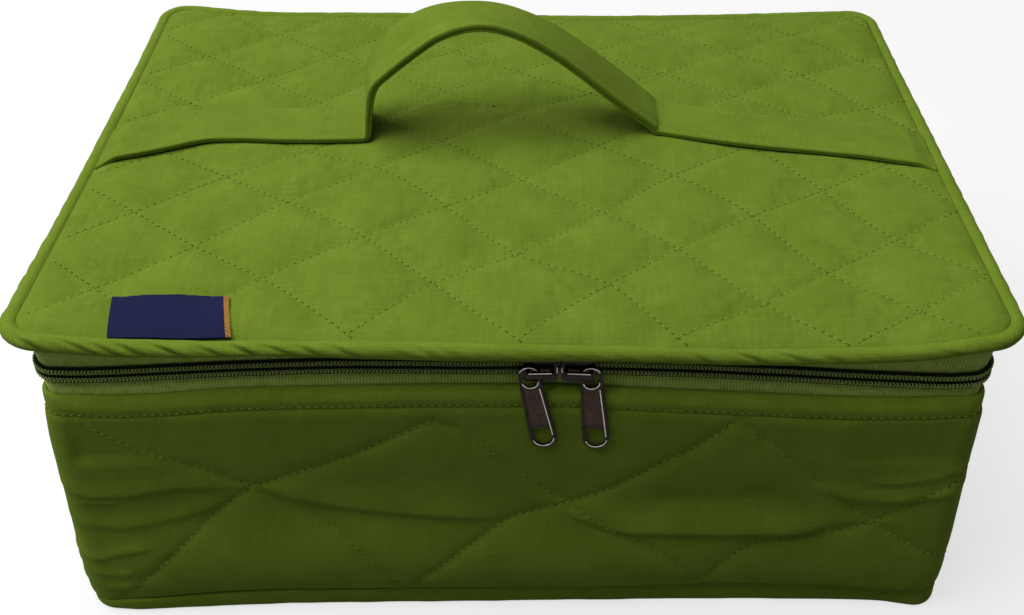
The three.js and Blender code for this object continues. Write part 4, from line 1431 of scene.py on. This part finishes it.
def make_pull(word, side, tilt):
    half_rim = pull_rim / 2
    middle_z = pull_back + pull_thickness / 2
    eye_radius = eye_width / 2
    eye_high = eye_above - eye_radius
    eye_low = eye_above - eye_length + eye_radius
    slot_half = pull_low_radius - pull_rim
    slot_low = -pull_length + pull_low_radius
    slot_high = -pull_length + pull_rim + slot_length
    top = eye_above + pull_rim - pull_top_radius
    outer = round_ended(top, slot_low, pull_top_radius - half_rim, pull_low_radius - half_rim)
    eye, eye_line = (round_ended(eye_high, eye_low, r, r) for r in (eye_radius, eye_radius + half_rim))
    slot, slot_line = (open_ended(slot_high + more, slot_low, slot_half + more) for more in (0, half_rim))
    lines = [outer, eye, slot]
    panel = flat_plate(f"pull_panel_{word}", lines, panel_thickness, middle_z - 0.05, cast_ground)
    pieces = [panel]
    for name, line, less in (("rim", outer, 0), ("eye", eye_line, 0), ("slot", slot_line, 0.1)):
        size = (pull_thickness - less, pull_rim - less)
        pieces.append(rim_tube(f"pull_{name}_{word}", line, *size, middle_z, black_nickel))
    # bright strips on the eye, the slot and one side: edges rubbed bright, and painted highlight where they
    # catch the light
    bright_strips = [
        arc(eye_low, eye_radius + 0.25, 185, 355),
        arc(slot_low, slot_half + 0.25, 190, 350),
        arc(eye_high, eye_radius + 0.9, 20, 150),
        [(slot_half + 0.1, slot_low + 1), (pull_top_radius - pull_rim + 0.1, eye_above - eye_length - 1)],
    ]
    bright_strip_z = middle_z + pull_thickness / 2 - 0.1
    for k, line in enumerate(bright_strips):
        name = f"pull_worn_edge_{word}_{k + 1}"
        pieces.append(rim_tube(name, line, *bright_strip_size, bright_strip_z, bright_edge_and_highlight, looped=False))
    for piece in pieces:
        piece.data.transform(pull_frame(side, tilt))
        settle(piece, word + "_pull", "gunmetal")
    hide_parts("pull_" + word)


# Strap: one folded band from one side piping over the arch to the other
strap_seam = 2.5 # from the strap's edge to its topstitch
strap_reach = 184.0 # from the middle to where each tail ends in the side seam
strap_dip = 3.0 # how far the tails go down into the seam

# The arch above the lid, twisted at its left: its near edge and its far edge, each as x and height in mm
arch_edges = [
    (-65.8, 2, -67.5, 2), (-64.3, 14, -67.3, 14), (-61.4, 26.8, -65.6, 26), (-53.8, 34.0, -60.5, 35.6),
    (-41, 43.6, -50.5, 45), (-29, 51.2, -35.5, 51.3), (-14, 54.5, -18, 52.7), (1, 50.5, -3, 50.2),
    (16, 41.6, 15, 42.2), (29.3, 31.3, 30, 31.6), (41, 21, 42, 22.3), (53, 11.2, 54, 12), (61, 5.2, 62, 5.2),
]


def curve_through(points, steps=24):
    """A smooth line through points."""
    p = np.asarray(points, float)
    p = np.concatenate([[2 * p[0] - p[1]], p, [2 * p[-1] - p[-2]]])
    t = np.linspace(0, 1, steps, endpoint=False)[:, None]
    parts = []
    for a, b, c, d in zip(p, p[1:], p[2:], p[3:]):
        curve = 2 * b + (c - a) * t + (2 * a - 5 * b + 4 * c - d) * t ** 2 + (3 * b - a - 3 * c + d) * t ** 3
        parts.append(0.5 * curve)
    return np.concatenate(parts + [p[-2:-1]])


def strap_edges():
    """The strap's near and far edges in x and z, even steps apart, its corners at the feet eased."""
    low = lid_top + 0.2 + tail_thickness / 2
    arch = curve_through(np.array(arch_edges) + (0, lid_top, 0, lid_top))
    left_foot = foot_shift - foot_span / 2 - 3.5
    right_foot = foot_shift + foot_span / 2
    ends = [(x, low, x, low) for x in (-strap_reach, left_foot, right_foot, strap_reach)]
    line = np.concatenate([ends[:2], arch, ends[2:]])
    middle = (line[:, :2] + line[:, 2:]) / 2
    passed = passed_along(middle)
    at = np.arange(0, passed[-1], 0.5)
    fine = resampled(line, passed, at)
    soft_line = np.stack([softened(part, 3.4, 12) for part in fine.T], axis=1)[::2]
    return soft_line[:, :2], soft_line[:, 2:]


def strap_section(thickness, slit):
    """The folded strap across its width: a dip along each topstitch, and a slit where its layers meet."""
    half = strap_width / 2 - 0.5
    seam = half - strap_seam
    right = [
        (seam - 0.5, 0.5), (seam, 0.41), (seam + 0.5, 0.5), (half - 0.5, 0.5), (half - 0.05, 0.36), (half, 0.1),
        (half - 0.1, -0.06), (half - slit, -0.14), (half - 0.2, -0.24), (half - 0.2, -0.4), (half - 0.6, -0.5),
    ]
    left = [(-w, h) for w, h in right[::-1]]
    return np.array([(-5, 0.49), (0, 0.5), (5, 0.49), *right, (0, -0.5), *left]) * (1, thickness)


def make_strap():
    near_edge, far_edge = strap_edges()
    x, z = ((near_edge + far_edge) / 2).T
    twist = (far_edge - near_edge) / strap_width
    y = strap_middle(x)
    on_lid = smooth((np.abs(x - foot_shift) - foot_span / 2) / 4)
    z = z + lid_bend(x, y) * on_lid + (1 - on_lid) * lid_bend(np.clip(x, -66, 66), y)
    z = z - strap_dip * smooth((np.abs(x) - strap_reach + 10) / 9)
    middle = np.stack([x, y, z], axis=1)
    along = unit(np.gradient(middle, axis=0))
    across = np.stack([twist[:, 0], np.ones(len(x)), twist[:, 1]], axis=1)
    across = unit(across - along * np.sum(across * along, axis=1, keepdims=True))
    out = np.cross(along, across)
    out = np.where(out[:, 2:] < -0.99, -out, out)
    thickness = tail_thickness + (strap_thickness - tail_thickness) * (1 - on_lid)
    sections = np.array([strap_section(*sizes) for sizes in zip(thickness, 0.9 - 0.55 * on_lid)])
    wide, high = sections[..., :1], sections[..., 1:]
    lean = wide * (across[:, 0] / along[:, 0] * smooth((np.abs(x) - 150) / 30))[:, None, None]
    rings = middle[:, None] + across[:, None] * wide + out[:, None] * high - along[:, None] * lean
    uv = grid(passed_along(middle), around_section(strap_section(strap_thickness, 0.5)))
    strap = skin("strap_folded_band", rings, uv, cotton)
    refine = strap.modifiers.new("soft_edges", "SUBSURF")
    refine.levels = 1
    refine.render_levels = 1
    finer = final_mesh(strap)
    strap.modifiers.clear()
    strap.data = finer
    solids = ["handle_cover", "handle_core", "handle_tail_left", "handle_tail_right"]
    settle(strap, None, "quilted_cotton", *solids)
    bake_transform(strap)
    for k, side in enumerate((-1, 1)):
        line = middle + across * side * (strap_width / 2 - 0.5 - strap_seam) + out * thickness[:, None] * 0.42
        places, direction = stitch_row(line[14:-14], hem_stitch)
        gaps = np.abs(places[:, None] - line[None])
        normals = out[np.argmin(gaps[..., 0] + gaps[..., 2], axis=1)]
        stitch = (hem_stitch * 0.6, 0.55, 0.4)
        seam = beads(f"strap_topstitch_{k + 1}", places, direction, normals, stitch, thread)
        settle(seam, None, "quilted_cotton")
        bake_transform(seam)


# Hinge: the cloth that joins the back wall to the lid, and covers the ends of the zip
hinge_reach = 176.2
hinge_low = 115.2
hinge_high = 146.5
hinge_outside = 134.4
hinge_inside = 132.4
hinge_line_z = 130.8


def make_hinge():
    x = np.linspace(-hinge_reach, hinge_reach, 240)
    high = hinge_high + lid_bend(x, case_depth / 2)[:, None]
    z = hinge_low + (high - hinge_low) * np.linspace(0, 1, 34)
    outer = hinge_outside + 0.35 * soft_noise(x[:, None], z, 22, 81) + 0.5 * bell((z - hinge_line_z) / 4)
    over_zip = smooth((np.abs(x) - 166) / 4) - 1.3 * smooth((np.abs(x) - hinge_reach + 1.6) / 1.6) ** 2
    front = np.stack(np.broadcast_arrays(x[:, None], outer + over_zip[:, None], z), axis=-1)
    back = np.stack(np.broadcast_arrays(x[:, None], np.float64(hinge_inside), z[:, ::-1]), axis=-1)
    rings = np.concatenate([front, back], axis=1)
    uv = grid(x, np.concatenate([z[0], z[0, ::-1] - 40, z[0, :1]]))
    strip = skin("back_hinge_cloth", rings, uv, cotton)
    settle(strip, None, "quilted_cotton", "hinge_strip_lower", "hinge_strip_upper")
    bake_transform(strip)


# Inside: linings, and the panel under the base
base_lining_top = 6.9
base_lining_bottom = 6.0
base_panel_top = 2.4


def make_linings():
    u = even_round(4.0)
    z = np.linspace(wall_bottom, lining_top, 30)
    slack = (1 + soft_noise(u[:, None], z, 36, 91, True)) / 2
    inward = lining_inside - 0.5 * smooth((z - wall_bottom) / 30) * slack
    outward = np.full((len(u), 2), lining_outside)
    offsets = np.concatenate([inward, outward], axis=1)
    heights = np.concatenate([z, [lining_top, wall_bottom]])
    sections = np.stack([offsets, np.broadcast_to(heights, offsets.shape)], axis=-1)
    ring = sweep_round("wall_lining_cloth", u, sections, lining, True)
    settle(ring, "case", "lining_cloth", "wall_lining")

    def lying(x, y):
        return base_lining_top + 0.35 * soft_noise(x, y, 38, 92) + 0.15 * soft_noise(x, y, 12, 93)

    sheet = lid_slab("base_lining_cloth", lining, lying, level(base_lining_bottom), base_edge, 4.0)
    settle(sheet, "case", "lining_cloth", "base_lining")


def make_base_panel():
    def under(x, y):
        _, pillow = lid_rows(x, y, 6)
        return np.clip(1.3 - 1.9 * pillow, 0.0, None)

    panel = lid_slab("base_quilted_panel", cotton, under, level(base_panel_top), base_edge, 2.5)
    settle(panel, "case", "quilted_cotton", "base_panel")


# Tag: a folded ribbon with a gold edge at the right, sewn into the front seam
tag_corners = [(-147.5, -137.0), (-102.0, -136.3), (-151.3, -113.8), (-107.3, -112.4)] # front, then back
tag_width = 46
tag_length = 24
tag_thickness = 0.75
gold_share = 0.955


def make_tag():
    depth = np.linspace(0, 1, 26)
    for name, first, last, material, lift in (
        ("tag_ribbon", 0.0, gold_share + 0.01, navy_ribbon, 0.0),
        ("tag_gold_edge", gold_share, 1.0, gold_ribbon, 0.1),
    ):
        s = np.linspace(first, last, max(6, round(tag_width * (last - first))))
        flat = four_way(np.array(tag_corners), s[:, None, None], depth[None, :, None])
        x, y = flat[..., 0], flat[..., 1]
        top = lid_top + 1.0 + lid_bend(x, y) + lift - 1.2 * np.exp(-depth * 9) + 0.3 * np.sin(depth * np.pi)
        top = top + 0.25 * soft_noise(x, y, 15, 95) - 0.35 * smooth((depth - 0.94) / 0.06)
        top = np.maximum(top, lid_surface(x, y) + 0.8 * smooth((depth - 0.1) / 0.3) - 0.3 + lift)
        upper = np.stack([x, y, top], axis=-1)
        rings = np.concatenate([upper, (upper - (0, 0, tag_thickness))[:, ::-1]], axis=1)
        uv = grid(tag_width * s, tag_length * np.concatenate([depth, 2 - depth[::-1], [0]]))
        settle(skin(name, rings, uv, material, sharp=50), "lid", "tag_cloth")
    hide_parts("woven_tag")


def finish_boards():
    for name in ("base_board", "front_board", "back_board", "left_board", "right_board", "lid_board"):
        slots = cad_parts[name].material_slots
        for slot in slots:
            slot.material = board
        if not slots:
            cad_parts[name].data.materials.append(board)


# Studio: white paper that takes a soft shadow near the bag and fades to plain white, one lamp and the camera
floor_reach = 6.0 # metres, as are the places below
camera_place = (0.00859, -0.49362, 0.4505)
camera_turn = (51.65, 0.501, 0.812) # degrees
camera_lens = 44.74
lamp_place = (-0.6, -0.05, 1.45)
lamp_aim = (0, 0, 0.1)
lamp_size = (1.6, 1.6)
lamp_power = 31


def make_stage():
    mesh = bpy.data.meshes.new("studio_floor")
    corners = [(x * floor_reach, y * floor_reach, 0) for x, y in ((-1, -1), (1, -1), (1, 1), (-1, 1))]
    mesh.from_pydata(corners, [], [(0, 1, 2, 3)])
    made, tree = new_material("white_seamless_paper")
    shadowed = add_node(tree, "ShaderNodeBsdfDiffuse", {"Color": (0.32, 0.32, 0.32, 1.0)})
    glow = add_node(tree, "ShaderNodeEmission", {"Color": colour("#ffffff"), "Strength": 0.69})
    near = add_node(tree, "ShaderNodeAddShader", {0: shadowed, 1: glow})
    place = add_node(tree, "ShaderNodeTexCoord").outputs["Object"]
    away = add_node(tree, "ShaderNodeVectorMath", {0: place}, operation="LENGTH").outputs["Value"]
    far = add_node(
        tree, "ShaderNodeMapRange", {"Value": away, "From Min": 0.45, "From Max": 1.1},
        interpolation_type="SMOOTHSTEP",
    )
    paper = add_node(tree, "ShaderNodeEmission", {"Color": colour("#ffffff"), "Strength": 1.0})
    white = add_node(tree, "ShaderNodeMixShader", {0: far, 1: near, 2: paper})
    quiet = add_node(tree, "ShaderNodeBsdfDiffuse", {"Color": (0.19, 0.19, 0.19, 1.0)})
    shader = add_node(tree, "ShaderNodeMixShader", {0: seen_by_eye(tree), 1: quiet, 2: white})
    add_node(tree, "ShaderNodeOutputMaterial", {"Surface": shader})
    mesh.materials.append(made)
    add_object("studio_floor", mesh)


def seen_by_eye(tree):
    """1 for rays from the camera, also by way of metal or glass, and 0 for those that light the object."""
    rays = add_node(tree, "ShaderNodeLightPath").outputs
    seen = rays["Is Camera Ray"]
    for kind in ("Is Glossy Ray", "Is Transmission Ray"):
        seen = add_node(tree, "ShaderNodeMath", {0: seen, 1: rays[kind]}, operation="MAXIMUM")
    return seen


def make_lamp():
    lamp = bpy.data.lights.new("overhead_softbox", "AREA")
    lamp.shape = "RECTANGLE"
    lamp.size, lamp.size_y = lamp_size
    lamp.energy = lamp_power
    made = add_object("overhead_softbox", lamp)
    made.location = lamp_place
    made.rotation_euler = (Vector(lamp_aim) - Vector(lamp_place)).to_track_quat("-Z", "Y").to_euler()


def make_world():
    world = bpy.data.worlds.new("studio_world")
    bpy.context.scene.world = world
    world.use_nodes = True
    tree = world.node_tree
    tree.nodes.clear()
    dim, bright = (
        add_node(tree, "ShaderNodeBackground", {"Color": colour("#ffffff"), "Strength": strength})
        for strength in (0.09, 1.0)
    )
    mixed = add_node(tree, "ShaderNodeMixShader", {0: seen_by_eye(tree), 1: dim, 2: bright})
    add_node(tree, "ShaderNodeOutputWorld", {"Surface": mixed})


def make_camera():
    lens = bpy.data.cameras.new("camera")
    lens.sensor_width = 36
    lens.lens = camera_lens
    lens.clip_start = 0.01
    made = add_object("camera", lens)
    made.location = camera_place
    made.rotation_euler = [math.radians(angle) for angle in camera_turn]
    bpy.context.scene.camera = made


make_lid()
sew_lid()
make_lid_piping()
make_base_piping()
make_walls()
sew_walls()
make_hem()
make_tapes()
make_coils()
make_chain()
make_sliders()
make_pull("left", 1, 10)
make_pull("right", -1, 5)
make_strap()
make_hinge()
make_linings()
make_base_panel()
make_tag()
finish_boards()
make_stage()
make_world()
make_lamp()
make_camera()

bpy.context.scene.view_settings.view_transform = "Standard"
